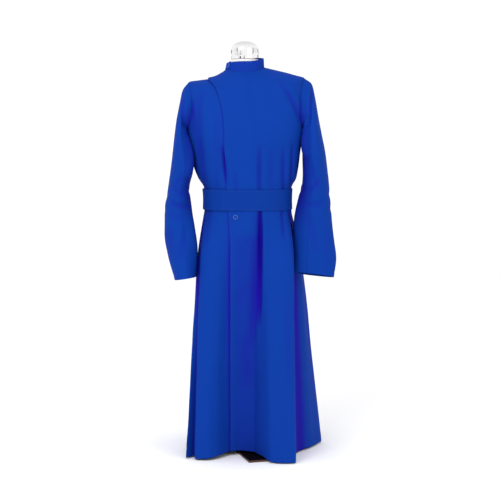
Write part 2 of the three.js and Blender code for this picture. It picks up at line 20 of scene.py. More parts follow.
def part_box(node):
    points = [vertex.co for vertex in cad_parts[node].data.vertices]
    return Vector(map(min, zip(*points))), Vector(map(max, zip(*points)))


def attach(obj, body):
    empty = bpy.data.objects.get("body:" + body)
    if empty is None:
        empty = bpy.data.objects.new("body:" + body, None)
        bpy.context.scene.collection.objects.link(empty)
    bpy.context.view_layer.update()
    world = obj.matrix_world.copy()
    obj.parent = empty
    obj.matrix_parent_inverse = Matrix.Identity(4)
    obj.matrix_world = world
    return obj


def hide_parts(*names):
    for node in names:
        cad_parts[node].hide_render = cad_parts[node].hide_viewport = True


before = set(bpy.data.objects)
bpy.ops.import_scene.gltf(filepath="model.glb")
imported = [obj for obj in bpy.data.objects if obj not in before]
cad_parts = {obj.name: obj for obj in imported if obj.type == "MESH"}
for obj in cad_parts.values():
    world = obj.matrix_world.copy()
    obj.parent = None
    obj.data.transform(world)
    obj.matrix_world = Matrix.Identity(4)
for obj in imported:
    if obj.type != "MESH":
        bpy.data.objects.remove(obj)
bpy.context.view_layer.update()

Array = np.ndarray
log = logging.getLogger("cassock")

MM = 0.001
# Step along levels, sections or drops by which the slope of a surface is found
NUDGE = 0.05

# Cloth, in millimetres: wall of the solids, gap at their seams, slit between sewn shells, wall of the shells
# and of the two bands
CLOTH = 2.0
SEAM = 0.3
SLIT = 0.02
THIN = 1.1
BAND_WALL = 1.9

# The lap, in millimetres: how far the front beneath runs on, the furthest edge that this is counted from,
# and the extra room between the fronts, everywhere and at the shoulder
UNDERLAP = 90.0
FURTHEST_LAP_X = -106.0
LAP_ROOM = 0.3
SHOULDER_ROOM = 2.8
# Degrees past the hidden edge over which the lap eases down, and degrees before the lapped edge over which
# the front beneath is pressed in at the neckline
LAP_EASE = (2.0, 18.0)
SINK_START = 12.0
SINK_END = 2.0
# Levels: where the room at the shoulder ends, its run, and the reach of the neckline's ease
SHOULDER_ROOM_FOOT = 5.0
SHOULDER_ROOM_RUN = 2.0
NECK_EASE = 0.9

# The belt: how far the cloth beneath it may stand out, in millimetres, and the levels where its hold starts
# and ends
BELT_ROOM = 0.1
HOLD_RISE = (10.85, 11.0)
HOLD_FALL = (12.87, 13.02)

# Painted shade beside the lapped edge and beside the armholes: levels of its rise and fall, strengths, and
# reach in millimetres
LAP_SHADE_RISE = (13.4, 14.4)
LAP_SHADE = 0.6
LAP_SHADE_LOW = 0.4
LAP_SHADE_REACH = 4.5
LAP_SHADE_REACH_LOW = 5.0
ARMHOLE_SHADE_RISE = (4.7, 5.6)
ARMHOLE_SHADE_FALL = (6.6, 7.3)
ARMHOLE_SHADE = 0.7
ARMHOLE_SHADE_REACH = 11.0

# Stitches: how far a row lies inside its edge, what is left out at its ends, and how far it stands out, in
# millimetres
FRONT_ROW = (6.0, 14.0)
BELT_ROW = (4.5, 2.0)
COLLAR_ROW = (4.0, 2.0)
STITCH_RISE = 0.12

# Places of the buttons: angle and level on the body, angle and share of the drop on the collar
WAIST_BUTTON = (np.array(-18.3), np.array(13.12))
COLLAR_BUTTON = (np.array(-60.0), np.array(0.58))

# Camera
PHOTO_SIDE = 500
SENSOR = 36.0
FOCAL_PIXELS = 1371.0
CAMERA_DISTANCE = 4.8
CAMERA_HEIGHT = 1.15
CAMERA_X = 0.014
AIM = Vector((0.014, 0.0, 0.704))


class Table:
    """Rows of values under named columns."""

    def __init__(self, columns: str, *rows: tuple) -> None:
        """Stores the rows.

        Args:
            columns: The names of the columns after the row's own name.
            rows: One tuple for each row, its name first.
        """
        self.names = [row[0] for row in rows]
        self.columns = {
            name: np.array([row[i + 1] for row in rows], float) for i, name in enumerate(columns.split())
        }

    def __getitem__(self, column: str) -> Array:
        """Values of one column."""
        return self.columns[column]

    def __len__(self) -> int:
        """Count of rows."""
        return len(self.names)


class SmoothCurve:
    """Smooth curve through table points, which never overshoots them."""

    def __init__(self, xs: Sequence[float], ys: Sequence[float]) -> None:
        """Finds the slope of the curve at each point.

        Args:
            xs: Rising places.
            ys: Value at each place.
        """
        self.xs = np.asarray(xs, float)
        self.ys = np.asarray(ys, float)
        slope = np.diff(self.ys) / np.diff(self.xs)
        before = slope[:-1]
        after = slope[1:]
        same = before * after > 0
        total = np.where(same, before + after, 1)
        inner = np.where(same, 2 * before * after / total, 0)
        self.tangents = np.concatenate([slope[:1], inner, slope[-1:]])

    def __call__(self, x: Array | float) -> Array:
        """Values of the curve at x.

        Args:
            x: Places, within the curve's own.

        Returns:
            The value at each place.
        """
        x = np.asarray(x, float)
        i = np.clip(np.searchsorted(self.xs, x) - 1, 0, len(self.xs) - 2)
        span = self.xs[i + 1] - self.xs[i]
        t = (x - self.xs[i]) / span
        return hermite(t, self.ys[i], span * self.tangents[i], self.ys[i + 1], span * self.tangents[i + 1])


def hermite(t: Array, start: Array, start_slope: Array, end: Array, end_slope: Array) -> Array:
    """Smooth run at t from 0 to 1, between two values with a slope at each.

    Args:
        t: Share of the run.
        start: First value.
        start_slope: Slope there.
        end: Last value.
        end_slope: Slope there.

    Returns:
        The value at each t.
    """
    t2 = t * t
    t3 = t2 * t
    return (
        (2 * t3 - 3 * t2 + 1) * start
        + (t3 - 2 * t2 + t) * start_slope
        + (3 * t2 - 2 * t3) * end
        + (t3 - t2) * end_slope
    )


def smoothstep(x: Array | float, low: float, high: float) -> Array:
    """Soft step from 0 at low to 1 at high."""
    t = np.clip((np.asarray(x, float) - low) / (high - low), 0, 1)
    return t * t * (3 - 2 * t)


def window(x: Array | float, rise: tuple[float, float], fall: tuple[float, float]) -> Array:
    """Soft window, 1 between a rise and a fall and 0 outside both."""
    return smoothstep(x, *rise) * (1 - smoothstep(x, *fall))


def unit(vectors: Array) -> Array:
    """Vectors scaled to length 1."""
    return vectors / np.linalg.norm(vectors, axis=-1, keepdims=True)


def surface_normals(
    point: Callable[[Array, Array], Array], across: Array, down: Array, step: float, last: float
) -> Array:
    """Normals of a surface, from small steps both ways.

    Args:
        point: Gives the surface's points from two coordinates.
        across: First coordinate of each place.
        down: Second coordinate of each place, from 0 to the last.
        step: Size of the steps in the first coordinate.
        last: Highest value of the second coordinate.

    Returns:
        Unit vectors square to the surface.
    """
    aside = point(across + step, down) - point(across - step, down)
    along = point(across, np.minimum(down + NUDGE, last)) - point(across, np.maximum(down - NUDGE, 0))
    return unit(np.cross(along, aside))


def add_object(name: str, data: bpy.types.ID) -> bpy.types.Object:
    """New object in the scene, at the origin.

    Args:
        name: Name of the object.
        data: Its mesh, camera or light.

    Returns:
        The new object.
    """
    made = bpy.data.objects.new(name, data)
    bpy.context.scene.collection.objects.link(made)
    return made


def add_shape(name: str, shape: bmesh.types.BMesh) -> bpy.types.Object:
    """New object made of a finished shape, which is freed.

    Args:
        name: Name of the object.
        shape: Shape in metres.

    Returns:
        The new object.
    """
    data = bpy.data.meshes.new(name)
    shape.to_mesh(data)
    shape.free()
    return add_object(name, data)


def set_finishes(mesh: bpy.types.Mesh, *materials: bpy.types.Material) -> None:
    """Gives a mesh its finishes. Old ones are cleared, which also sets each face's number back to 0.

    Args:
        mesh: Mesh to dress.
        materials: Finishes in their order.
    """
    if len(mesh.materials):
        mesh.materials.clear()
    for material in materials:
        mesh.materials.append(material)


# Rings of the body: heights at the right side, left side, front and back, reach each way, squareness, and
# where the lapped edge crosses
LEVELS = Table(
    "right_z left_z front_z back_z right left front back square lap_x",
    ("neckline", 1332, 1340, 1322, 1346, 75, 64, 66, 64, 2.0, -70),
    ("shoulder inner", 1312, 1334, 1294, 1324, 97, 92, 82, 79, 2.0, -94),
    ("lap corner", 1302, 1326, 1264, 1300, 127, 126, 95, 92, 2.05, -126),
    ("mid shoulder", 1298, 1316, 1235, 1274, 160, 166, 104, 101, 2.1, -106),
    ("shoulder point", 1291, 1303, 1196, 1240, 198, 205, 112, 110, 2.2, -90),
    ("cap line", 1240, 1247, 1160, 1200, 206, 207, 121, 117, 2.35, -79),
    ("mid armhole", 1175, 1176, 1130, 1155, 206, 205, 127, 121, 2.5, -75),
    ("underarm", 1110, 1110, 1095, 1104, 203, 199, 128, 119, 2.55, -74),
    ("chest", 1050, 1050, 1050, 1050, 192, 189, 124, 114, 2.5, -74),
    ("ribs", 1000, 1000, 1000, 1000, 183, 183, 118, 108, 2.4, -72),
    ("blouse", 958, 958, 958, 958, 168, 176, 114, 104, 2.35, -69),
    ("belt top", 922, 922, 922, 922, 148, 160, 111, 101, 2.3, -66),
    ("belt middle", 884, 884, 884, 884, 145, 158.5, 110, 100, 2.3, -64),
    ("belt foot", 843, 843, 843, 843, 146, 160, 110, 100, 2.3, -61),
)
LAP_CORNER, SHOULDER_POINT, UNDERARM = 2, 4, 7
WAIST, THIGH, HEM = 13, 14, 15
THIGH_Z = 700.0
ARMHOLE_HALF_ANGLE = 18.5
RIDGE = 2.4
ARMHOLE_STEPS = 40

# Fold lines of the skirt: angle at the belt, place at thigh height, place and height at the hem
FOLDS = Table(
    "angle thigh_x thigh_y hem_x hem_y hem_z",
    ("centre back", -180, 0, 138, -5, 258, 7),
    ("right back dip", -160, -56, 126, -72, 202, 10),
    ("right back crest", -141, -108, 126, -135, 222, 7),
    ("right back valley", -123, -142, 84, -170, 120, 10),
    ("right flare", -107, -165, 34, -213, 44, 7),
    ("right side", -95, -168, -14, -209, -54, 8),
    ("right outer crest", -85, -166, -50, -206, -182, 5),
    ("right valley", -77, -158, -74, -178, -153, 6),
    ("right front crest", -67, -155, -96, -175, -196, 5),
    ("right front face", -56, -127, -116, -136, -207, 8),
    ("right front slope", -44, -95, -120, -104, -192, 11),
    ("lapped edge", -30.4, -54, -117, -55, -134, 17),
    ("front centre", -8, -15, -115, -15, -120, 16),
    ("valley edge", 12, 24, -115, 28, -128, 13),
    ("pleat wall", 24, 48, -120, 52, -178, 13),
    ("left front turn", 34, 75, -133, 86, -240, 5),
    ("left front face", 48, 118, -132, 124, -252, 4),
    ("left front crest", 68, 164, -106, 166, -250, 4),
    ("left valley", 79, 158, -50, 176, -116, 6),
    ("left side", 90, 185, 6, 236, -16, 6),
    ("left flare", 108, 191, 52, 271, 76, 6),
    ("left back valley", 126, 141, 96, 185, 150, 9),
    ("left back crest", 144, 109, 130, 140, 238, 7),
    ("left back dip", 162, 57, 129, 66, 205, 10),
)

# Sections of the sleeves from the armhole to the cuff: inner and outer points seen from the front, place
# in depth, half depth, and how far the front stands above the back
SLEEVE_COLUMNS = "inner_x inner_z outer_x outer_z y half_depth rise"
LEFT_SLEEVE = Table(
    SLEEVE_COLUMNS,
    ("armhole", 199, 1110, 205, 1303, 0, 62, 0),
    ("cap top", 202.5, 1118, 229, 1284, 0, 70, 0),
    ("cap", 205, 1116, 241, 1236, -1, 76, 0),
    ("cap foot", 204.5, 1104, 252, 1174, -6, 79, 0),
    ("underarm", 200, 1080, 265, 1108, -13, 80, 0),
    ("upper arm", 197, 1040, 277, 1046, -15, 78, 0),
    ("above elbow", 198.5, 974, 286, 970, -12, 72, 0),
    ("elbow", 192, 905, 293, 900, -12, 66, 0),
    ("forearm", 178, 820, 302, 808, -18, 57, 4),
    ("lower forearm", 170, 745, 309, 735, -36, 46, 6),
    ("above cuff", 166, 688, 315, 678, -50, 38, 6),
    ("cuff", 163, 632, 306, 615, -64, 28, 6),
)
RIGHT_SLEEVE = Table(
    SLEEVE_COLUMNS,
    ("armhole", 203, 1110, 198, 1291, 0, 62, 0),
    ("cap top", 206, 1118, 219, 1262, 0, 70, 0),
    ("cap", 208, 1116, 229, 1222, -1, 76, 0),
    ("cap foot", 209, 1104, 241, 1164, -6, 80, 0),
    ("underarm", 203, 1082, 249, 1106, -15, 82, 0),
    ("upper arm", 191.5, 1040, 256, 1044, -25, 80, 0),
    ("above elbow", 183.5, 984, 264, 980, -27, 76, 0),
    ("elbow", 196, 925, 273, 912, -24, 71, 1),
    ("bend", 189, 856, 284, 840, -24, 66, 2),
    ("forearm", 180, 785, 284, 768, -30, 62, 4),
    ("lower forearm", 173, 705, 272, 692, -50, 60, 5),
    ("cuff", 173, 617, 247, 606, -75, 57, 4),
)
SLEEVE_SEAM_ANGLE = 112.5
CAP_BLEND_SECTIONS = 2.0


class Face(Enum):
    """Side of the garment that a crease is pressed into, as the axis and the sign that face it."""

    FRONT = (1, -1)
    BACK = (1, 1)
    LEFT = (0, 1)
    RIGHT = (0, -1)

    @property
    def across(self) -> int:
        """Axis that runs across this side."""
        return 1 - self.value[0]


# Creases: how squarely the cloth has to face their side, from no effect to the full one, the power of the
# fade at their ends, and how many half widths they reach
FACING = (0.05, 0.45)
END_FADE = 0.6
CREASE_REACH = 3


@dataclass(frozen=True)
class Crease:
    """One soft trough, or a ridge where its depth is negative, along a gently bent line.

    The half width holds on the side of lower values, and the other side's is that times its share.
    """

    face: Face
    top: tuple[float, float]
    middle: tuple[float, float]
    foot: tuple[float, float]
    half_width: float
    depth: float
    far_share: float = 1.0
    lip: float = 0.35
    segments: int = 8

    def push(self, points: Array, normals: Array) -> Array:
        """How far the crease moves each point out along its normal.

        Args:
            points: Places on the cloth, in millimetres.
            normals: Outward normals there.

        Returns:
            The move of each point, in millimetres.
        """
        plane = points[..., [self.face.across, 2]]
        axis, sign = self.face.value
        t = np.linspace(0, 1, self.segments + 1)[:, None]
        ends = np.array([self.top, self.middle, self.foot], float)
        line = (1 - t) ** 2 * ends[0] + 2 * t * (1 - t) * ends[1] + t**2 * ends[2]
        reach = CREASE_REACH * self.half_width * max(self.far_share, 1.0)
        near = np.all((plane > line.min(0) - reach) & (plane < line.max(0) + reach), axis=-1)
        near &= sign * normals[..., axis] > FACING[0]
        move = np.zeros(points.shape[:-1])
        spots = plane[near]
        if not len(spots):
            return move
        best = np.full(len(spots), 1e9)
        along = np.zeros(len(spots))
        far_side = np.zeros(len(spots), bool)
        for k in range(self.segments):
            step = line[k + 1] - line[k]
            offset = spots - line[k]
            share = np.clip((offset @ step) / (step @ step), 0, 1)
            gap = np.linalg.norm(offset - share[:, None] * step, axis=1)
            closer = gap < best
            best = np.where(closer, gap, best)
            along = np.where(closer, (k + share) / self.segments, along)
            far_side = np.where(closer, step[0] * offset[:, 1] - step[1] * offset[:, 0] > 0, far_side)
        width = self.half_width * np.where(far_side, self.far_share, 1.0)
        aside = (best / width) ** 2
        ends_fade = np.clip(np.sin(np.pi * along), 0, 1) ** END_FADE
        facing = smoothstep(sign * normals[near][:, axis], *FACING)
        move[near] = -self.depth * (1 - self.lip * aside) * np.exp(-aside) * ends_fade * facing
        return move


def creases(face: Face, *rows: tuple) -> list[Crease]:
    """Creases of one side, from rows of top, middle and foot places, half width, depth and far share."""
    return [Crease(face, row[0:2], row[2:4], row[4:6], *row[6:]) for row in rows]


@dataclass(frozen=True)
class Ripple:
    """Gentle unevenness of hanging cloth, as a sum of long soft waves with fixed directions."""

    seed: int = 11
    waves: int = 14
    shortest: float = 70.0
    longest: float = 260.0
    height: float = 0.55

    def push(self, points: Array) -> Array:
        """How far the unevenness moves each point out, in millimetres.

        Args:
            points: Places on the cloth, in millimetres.

        Returns:
            The move of each place, in millimetres.
        """
        rng = np.random.default_rng(self.seed)
        total = np.zeros(points.shape[:-1])
        for _ in range(self.waves):
            heading = unit(rng.normal(size=3) * (1, 1, 0.45))
            length = rng.uniform(self.shortest, self.longest)
            total += np.sin(points @ heading * 2 * math.pi / length + rng.uniform(0, 2 * math.pi))
        return self.height * total / math.sqrt(self.waves / 2)


class Body:
    """The body's cloth surface: rings from neckline to belt, then fold lines to the hem."""

    def __init__(self) -> None:
        """Makes the smooth curves of the tables."""
        places = np.arange(len(LEVELS))
        self.rings = {name: SmoothCurve(places, values) for name, values in LEVELS.columns.items()}
        count = len(FOLDS)
        turn = np.arange(-1, count + 2)
        angles = FOLDS["angle"][turn % count] + 360.0 * (turn // count)
        self.folds = {
            name: SmoothCurve(angles, values[turn % count])
            for name, values in FOLDS.columns.items()
            if name != "angle"
        }
        front = {name: LEVELS[name] for name in ("right", "left", "front", "square")}
        self.lap = SmoothCurve(places, self.front_angle(front, LEVELS["lap_x"]))
        hidden = np.maximum(LEVELS["lap_x"], FURTHEST_LAP_X) + UNDERLAP
        self.hidden = SmoothCurve(places, self.front_angle(front, hidden))

    @staticmethod
    def front_angle(ring: dict[str, Array], x: Array) -> Array:
        """Angle of the place on the front of a ring that lies at x.

        Args:
            ring: Reach and squareness of the ring.
            x: Place across the wearer.

        Returns:
            Degrees round the wearer.
        """
        across = np.where(x < 0, ring["right"], ring["left"])
        share = np.minimum(np.abs(x) / across, 1) ** ring["square"]
        y = ring["front"] * (1 - share) ** (1 / ring["square"])
        return np.degrees(np.arctan2(x, y))

    @staticmethod
    def ring_point(ring: dict[str, Array], angle: Array) -> Array:
        """Points of a ring at some angles.

        Args:
            ring: Reach, squareness and heights of the ring, by column name.
            angle: Degrees round the wearer from the front centre.

        Returns:
            Points in millimetres.
        """
        s = np.sin(np.radians(angle))
        c = np.cos(np.radians(angle))
        across = np.where(s < 0, ring["right"], ring["left"])
        deep = np.where(c > 0, ring["front"], ring["back"])
        power = ring["square"]
        reach = ((np.abs(s) / across) ** power + (np.abs(c) / deep) ** power) ** (-1 / power)
        side_z = np.where(s < 0, ring["right_z"], ring["left_z"])
        centre_z = np.where(c > 0, ring["front_z"], ring["back_z"])
        z = centre_z + (side_z - centre_z) * np.abs(s) ** RIDGE
        return np.stack([reach * s, -reach * c, z], axis=-1)

    def point(self, angle: Array, level: Array) -> Array:
        """Points of the surface at angles and levels, in millimetres.

        Args:
            angle: Degrees round the wearer.
            level: Levels down the body.

        Returns:
            Points in millimetres.
        """
        angle, level = np.broadcast_arrays(np.asarray(angle, float), np.asarray(level, float))
        upper = np.minimum(level, WAIST)
        point = self.ring_point({name: curve(upper) for name, curve in self.rings.items()}, angle)
        below = level > WAIST
        if not below.any():
            return point
        around = (angle[below] + 180) % 360 - 180
        fold = {name: curve(around) for name, curve in self.folds.items()}
        stations = [
            point[below],
            np.stack([fold["thigh_x"], fold["thigh_y"], np.full(len(around), THIGH_Z)], axis=-1),
            np.stack([fold["hem_x"], fold["hem_y"], fold["hem_z"]], axis=-1),
        ]
        point[below] = self.three_stations(stations, level[below] - WAIST)
        return point

    @staticmethod
    def three_stations(stations: list[Array], t: Array) -> Array:
        """Smooth run through three stations, at t from 0 to 2.

        Args:
            stations: The three rows of points.
            t: Share of the run, 1 at the second.

        Returns:
            Points in millimetres.
        """
        first = stations[1] - stations[0]
        second = stations[2] - stations[1]
        same = first * second > 0
        mid = np.where(same, 2 * first * second / np.where(same, first + second, 1), 0)
        lower = (t > 1)[:, None]
        start = np.where(lower, stations[1], stations[0])
        end = np.where(lower, stations[2], stations[1])
        start_slope = np.where(lower, mid, first)
        end_slope = np.where(lower, second, mid)
        return hermite(np.where(t > 1, t - 1, t)[:, None], start, start_slope, end, end_slope)

    def normal(self, angle: Array, level: Array) -> Array:
        """Outward normals of the surface."""
        return surface_normals(self.point, angle, level, 1, HEM)

    def per_degree(self, angle: Array, level: Array) -> Array:
        """Millimetres of cloth for each degree round the wearer."""
        return np.linalg.norm(self.point(angle + 0.5, level) - self.point(angle - 0.5, level), axis=-1)

    def lap_angle(self, level: Array) -> Array:
        """Angle of the lapped edge at some levels."""
        return np.where(level <= LAP_CORNER, -90.0, self.lap(np.minimum(level, WAIST)))

    def hidden_angle(self, level: Array) -> Array:
        """Angle of the hidden edge of the front beneath."""
        return self.hidden(np.minimum(level, WAIST))

    @staticmethod
    def armhole_half_angle(level: Array) -> Array:
        """How far the armhole reaches from the side line, in degrees."""
        t = np.clip((level - SHOULDER_POINT) / (UNDERARM - SHOULDER_POINT), 0, 1)
        return ARMHOLE_HALF_ANGLE * np.sqrt(np.maximum(1 - (2 * t - 1) ** 2, 0))

    @staticmethod
    def armhole_level(turn: Array) -> Array:
        """Level of the armhole's edge at a turn round it, from the shoulder point over the front."""
        return SHOULDER_POINT + (UNDERARM - SHOULDER_POINT) * (1 - np.cos(turn)) / 2


BODY = Body()

# Where the cloth creases, by side: top, middle and foot as across and height, then half width, depth and,
# where one flank is steeper, the share of the half width on the side of higher values
BODY_CREASES = [
    *creases(
        Face.FRONT,
        # Right chest and shoulder
        (-150, 1262, -176, 1145, -150, 1020, 19, 4.2, 0.8),
        (-126, 1240, -140, 1140, -126, 1020, 18, -2.5),
        (-163, 1100, -158, 1000, -136, 885, 16, 4.5),
        (-182, 1230, -186, 1170, -180, 1100, 9, 3.5),
        (-98, 1180, -104, 1080, -92, 960, 16, 1.8),
        (-108, 985, -104, 950, -98, 885, 11, 2),
        # The lapped edge leans in over the waist
        (-80, 1078, -72, 1015, -64, 936, 9, 9.5, 0.5),
        (-60, 1060, -54, 1000, -52, 940, 10, -3),
        (-36, 985, -33, 950, -34, 885, 10, 2.6),
        (-12, 1090, -4, 1010, 4, 912, 22, -2),
        # Left chest and waist
        (50, 1076, 46, 985, 48, 868, 11, 6, 0.6),
        (66, 1060, 63, 985, 65, 912, 11, -2.4),
        (89, 1075, 88, 1000, 90, 880, 13, 2.4),
        (130, 1072, 131, 985, 134, 868, 10, 6, 0.7),
        (162, 1085, 162, 990, 157, 875, 9, 6, 0.6),
        (104, 1300, 160, 1246, 192, 1150, 11, 2.8),
        (136, 1262, 172, 1206, 197, 1130, 9, 2.6),
        (150, 1272, 182, 1226, 199, 1180, 8, -2),
        # Skirt under the belt
        (50, 905, 57, 690, 46, 452, 12, 17, 0.4),
        (46, 850, 48, 640, 22, 372, 24, 8, 0.4),
        (66, 850, 63, 720, 58, 560, 13, -4),
        (126, 885, 128, 815, 132, 745, 8, 6, 0.7),
        (156, 890, 164, 770, 176, 640, 10, 7),
        (16, 820, -4, 760, -34, 700, 20, -3),
        (16, 620, -10, 560, -40, 510, 26, 1.5),
        (-62, 845, -66, 600, -70, 330, 15, 2.2),
        (-126, 895, -134, 800, -142, 715, 13, 3),
        (-96, 700, -104, 480, -110, 240, 26, -2.5),
        (0, 430, 4, 330, 6, 230, 24, 3),
        (96, 660, 104, 430, 112, 190, 22, -2.5),
        (140, 560, 142, 420, 146, 250, 16, 2),
    ),
    *creases(
        Face.BACK,
        (-58, 1075, -63, 990, -50, 905, 11, 6),
        (-26, 1040, -22, 970, -24, 905, 10, -2.5),
        (-112, 1080, -120, 1000, -106, 905, 12, 5),
        (-150, 1040, -146, 970, -140, 905, 9, 4),
        (30, 1060, 28, 980, 22, 905, 10, 4),
        (66, 1085, 70, 1000, 60, 905, 11, 6.5),
        (118, 1060, 124, 990, 112, 905, 12, 5),
        (152, 1080, 156, 1000, 150, 905, 9, 5),
        (-168, 1245, -176, 1180, -186, 1110, 9, 4),
        (158, 1250, 176, 1190, 188, 1110, 9, 4.5),
        (-70, 1300, -120, 1265, -165, 1215, 12, 2.5),
        (64, 1306, 118, 1270, 166, 1222, 12, 2.5),
        (-40, 1180, 0, 1165, 44, 1184, 16, 1.6),
        (-34, 862, -36, 740, -44, 560, 10, 10, 0.7),
        (30, 862, 34, 730, 40, 540, 10, 11, 0.7),
        (-104, 862, -112, 760, -126, 640, 11, 8),
        (100, 862, 110, 770, 124, 650, 11, 8),
        (-70, 640, -78, 420, -88, 180, 22, 3),
        (74, 600, 84, 400, 96, 170, 22, 3),
        (4, 620, 6, 420, 4, 200, 24, -3),
    ),
    *creases(
        Face.LEFT,
        (-30, 1060, -22, 990, -16, 905, 12, 4),
        (34, 1040, 30, 980, 24, 905, 11, 4),
        (0, 862, 6, 770, 16, 640, 11, 7),
        (-44, 856, -52, 780, -66, 690, 10, 6),
        (52, 858, 62, 740, 78, 600, 12, 6),
        (30, 560, 40, 380, 52, 170, 22, 3),
    ),
    *creases(
        Face.RIGHT,
        (-26, 1060, -20, 990, -14, 905, 12, 4),
        (36, 1050, 34, 980, 26, 905, 11, 4),
        (4, 862, 6, 760, 8, 630, 11, 6),
        (50, 858, 58, 750, 70, 600, 12, 5),
        (-38, 858, -42, 790, -52, 700, 10, 5),
        (20, 560, 22, 380, 26, 170, 22, 3),
    ),
]
LEFT_SLEEVE_CREASES = [
    *creases(
        Face.FRONT,
        (232, 1286, 226, 1210, 212, 1120, 7, 6, 0.7),
        (246, 1240, 244, 1170, 232, 1090, 10, -2.5),
        (208, 1130, 214, 1080, 212, 1010, 9, 4),
        (262, 960, 236, 925, 206, 912, 13, 4),
        (276, 880, 246, 862, 204, 872, 12, 3.5),
        (222, 1010, 232, 970, 250, 930, 12, 2.5),
        (214, 840, 226, 780, 246, 700, 16, 2.5),
        (276, 800, 278, 730, 286, 650, 14, 2),
    ),
    *creases(
        Face.BACK,
        (226, 1270, 228, 1190, 214, 1110, 8, 5),
        (262, 1010, 238, 950, 206, 930, 13, 4.5),
        (270, 930, 240, 890, 202, 890, 12, 5),
        (274, 840, 240, 820, 196, 838, 13, 3),
        (222, 1090, 236, 1030, 250, 960, 14, 2.5),
    ),
    *creases(
        Face.LEFT,
        (-34, 1180, -26, 1080, -22, 960, 16, 2),
        (30, 1120, 26, 1020, 16, 920, 16, 2.5),
        (-60, 915, -16, 890, 34, 905, 12, 3),
        (-58, 860, -18, 842, 20, 862, 12, 2.5),
    ),
    *creases(
        Face.RIGHT,
        (-50, 930, -20, 900, 20, 918, 11, 3),
        (-44, 1160, -60, 1105, -62, 1030, 26, -19),
        (-4, 935, -14, 825, -44, 690, 26, -10),
    ),
]
RIGHT_SLEEVE_CREASES = [
    *creases(
        Face.FRONT,
        (-224, 1272, -222, 1200, -208, 1110, 7, 5, 1.4),
        (-236, 1220, -238, 1150, -228, 1060, 10, -2),
        (-206, 1120, -206, 1070, -198, 1000, 8, 3.5),
        (-258, 936, -234, 900, -204, 908, 13, 3),
        (-262, 886, -238, 856, -196, 862, 12, 4.5),
        (-264, 838, -240, 814, -196, 830, 14, 2.2),
        (-210, 985, -226, 950, -252, 925, 12, 3),
        (-200, 800, -214, 740, -232, 670, 15, 3),
        (-262, 790, -262, 740, -252, 680, 13, 2.2),
    ),
    *creases(
        Face.BACK,
        (-222, 1260, -222, 1180, -210, 1100, 8, 5),
        (-262, 1000, -236, 950, -202, 935, 13, 4),
        (-276, 880, -246, 850, -200, 842, 13, 4),
        (-236, 1090, -246, 1030, -250, 960, 14, 2.5),
        (-210, 800, -222, 740, -232, 680, 14, 2.5),
    ),
    *creases(
        Face.RIGHT,
        (-36, 1160, -30, 1070, -26, 960, 16, 2),
        (30, 1120, 22, 1020, 8, 920, 16, 2.5),
        (-70, 905, -24, 880, 30, 902, 12, 1.6),
        (-72, 852, -28, 838, 24, 856, 12, 1.4),
        (-80, 790, -60, 740, -72, 680, 16, 2),
    ),
    *creases(
        Face.LEFT,
        (-56, 935, -22, 900, 20, 912, 11, 3),
        (-48, 1136, -72, 1060, -80, 960, 26, -18),
        (-52, 850, -64, 745, -82, 620, 22, -9),
    ),
]


@dataclass(frozen=True)
class Shade:
    """Painted violet shade on the body's cloth where it lies deep between folds, by angle and level."""

    angle: float
    half_angle: float
    top: float
    foot: float
    strength: float
    fade: float = 0.3

    def amount(self, angles: Array, levels: Array) -> Array:
        """How much painted shade each place takes, from 0 to 1.

        Args:
            angles: Degrees round the wearer.
            levels: Levels down the body.

        Returns:
            The painted shade of each place, from 0 to 1.
        """
        aside = ((angles - self.angle + 180) % 360 - 180) / self.half_angle
        ends = window(levels, (self.top, self.top + self.fade), (self.foot - self.fade, self.foot))
        return self.strength * np.exp(-(aside**4)) * ends


# Painted violet shade at named places of the body: angle, half angle, top and foot levels, and strength
BODY_SHADES = [
    Shade(81.4, 4.2, 13.0, 15.4, 1.0),
    Shade(-76, 4.0, 13.8, 15.4, 0.7),
    Shade(-90, 12.0, 5.5, 10.2, 0.9),
    Shade(90, 10.0, 5.2, 9.4, 0.9),
    Shade(0, 26.0, 13.5, 15.9, 0.26),
    Shade(-84, 6.0, 13.1, 14.5, 0.85),
    Shade(-123, 6.0, 13.4, 15.4, 0.4),
    Shade(126, 6.5, 13.4, 15.4, 0.45),
    Shade(161, 6.0, 13.6, 15.4, 0.22),
    Shade(-161, 6.0, 13.6, 15.4, 0.22),
]
RIPPLE = Ripple()
# Crease depth in millimetres that gives the full painted violet shade
FULL_SHADE_DEPTH = 12.0


@dataclass
class Pressed:
    """Points with creases pressed in, and the painted shade that each takes from how deep in a fold it lies,
    from 0 to 1.
    """

    points: Array
    fold: Array


def press(points: Array, normals: Array, marks: Sequence[Crease]) -> Pressed:
    """Presses all creases and the gentle unevenness into a smooth surface.

    Args:
        points: Places on the smooth surface, in millimetres.
        normals: Outward normals there.
        marks: Creases to press in.

    Returns:
        The moved points and the painted shade of their fold depth.
    """
    move = np.zeros(points.shape[:-1])
    for crease in marks:
        move = move + crease.push(points, normals)
    fold = np.clip(-move / FULL_SHADE_DEPTH, 0, 1)
    return Pressed(points + normals * (move + RIPPLE.push(points))[..., None], fold)


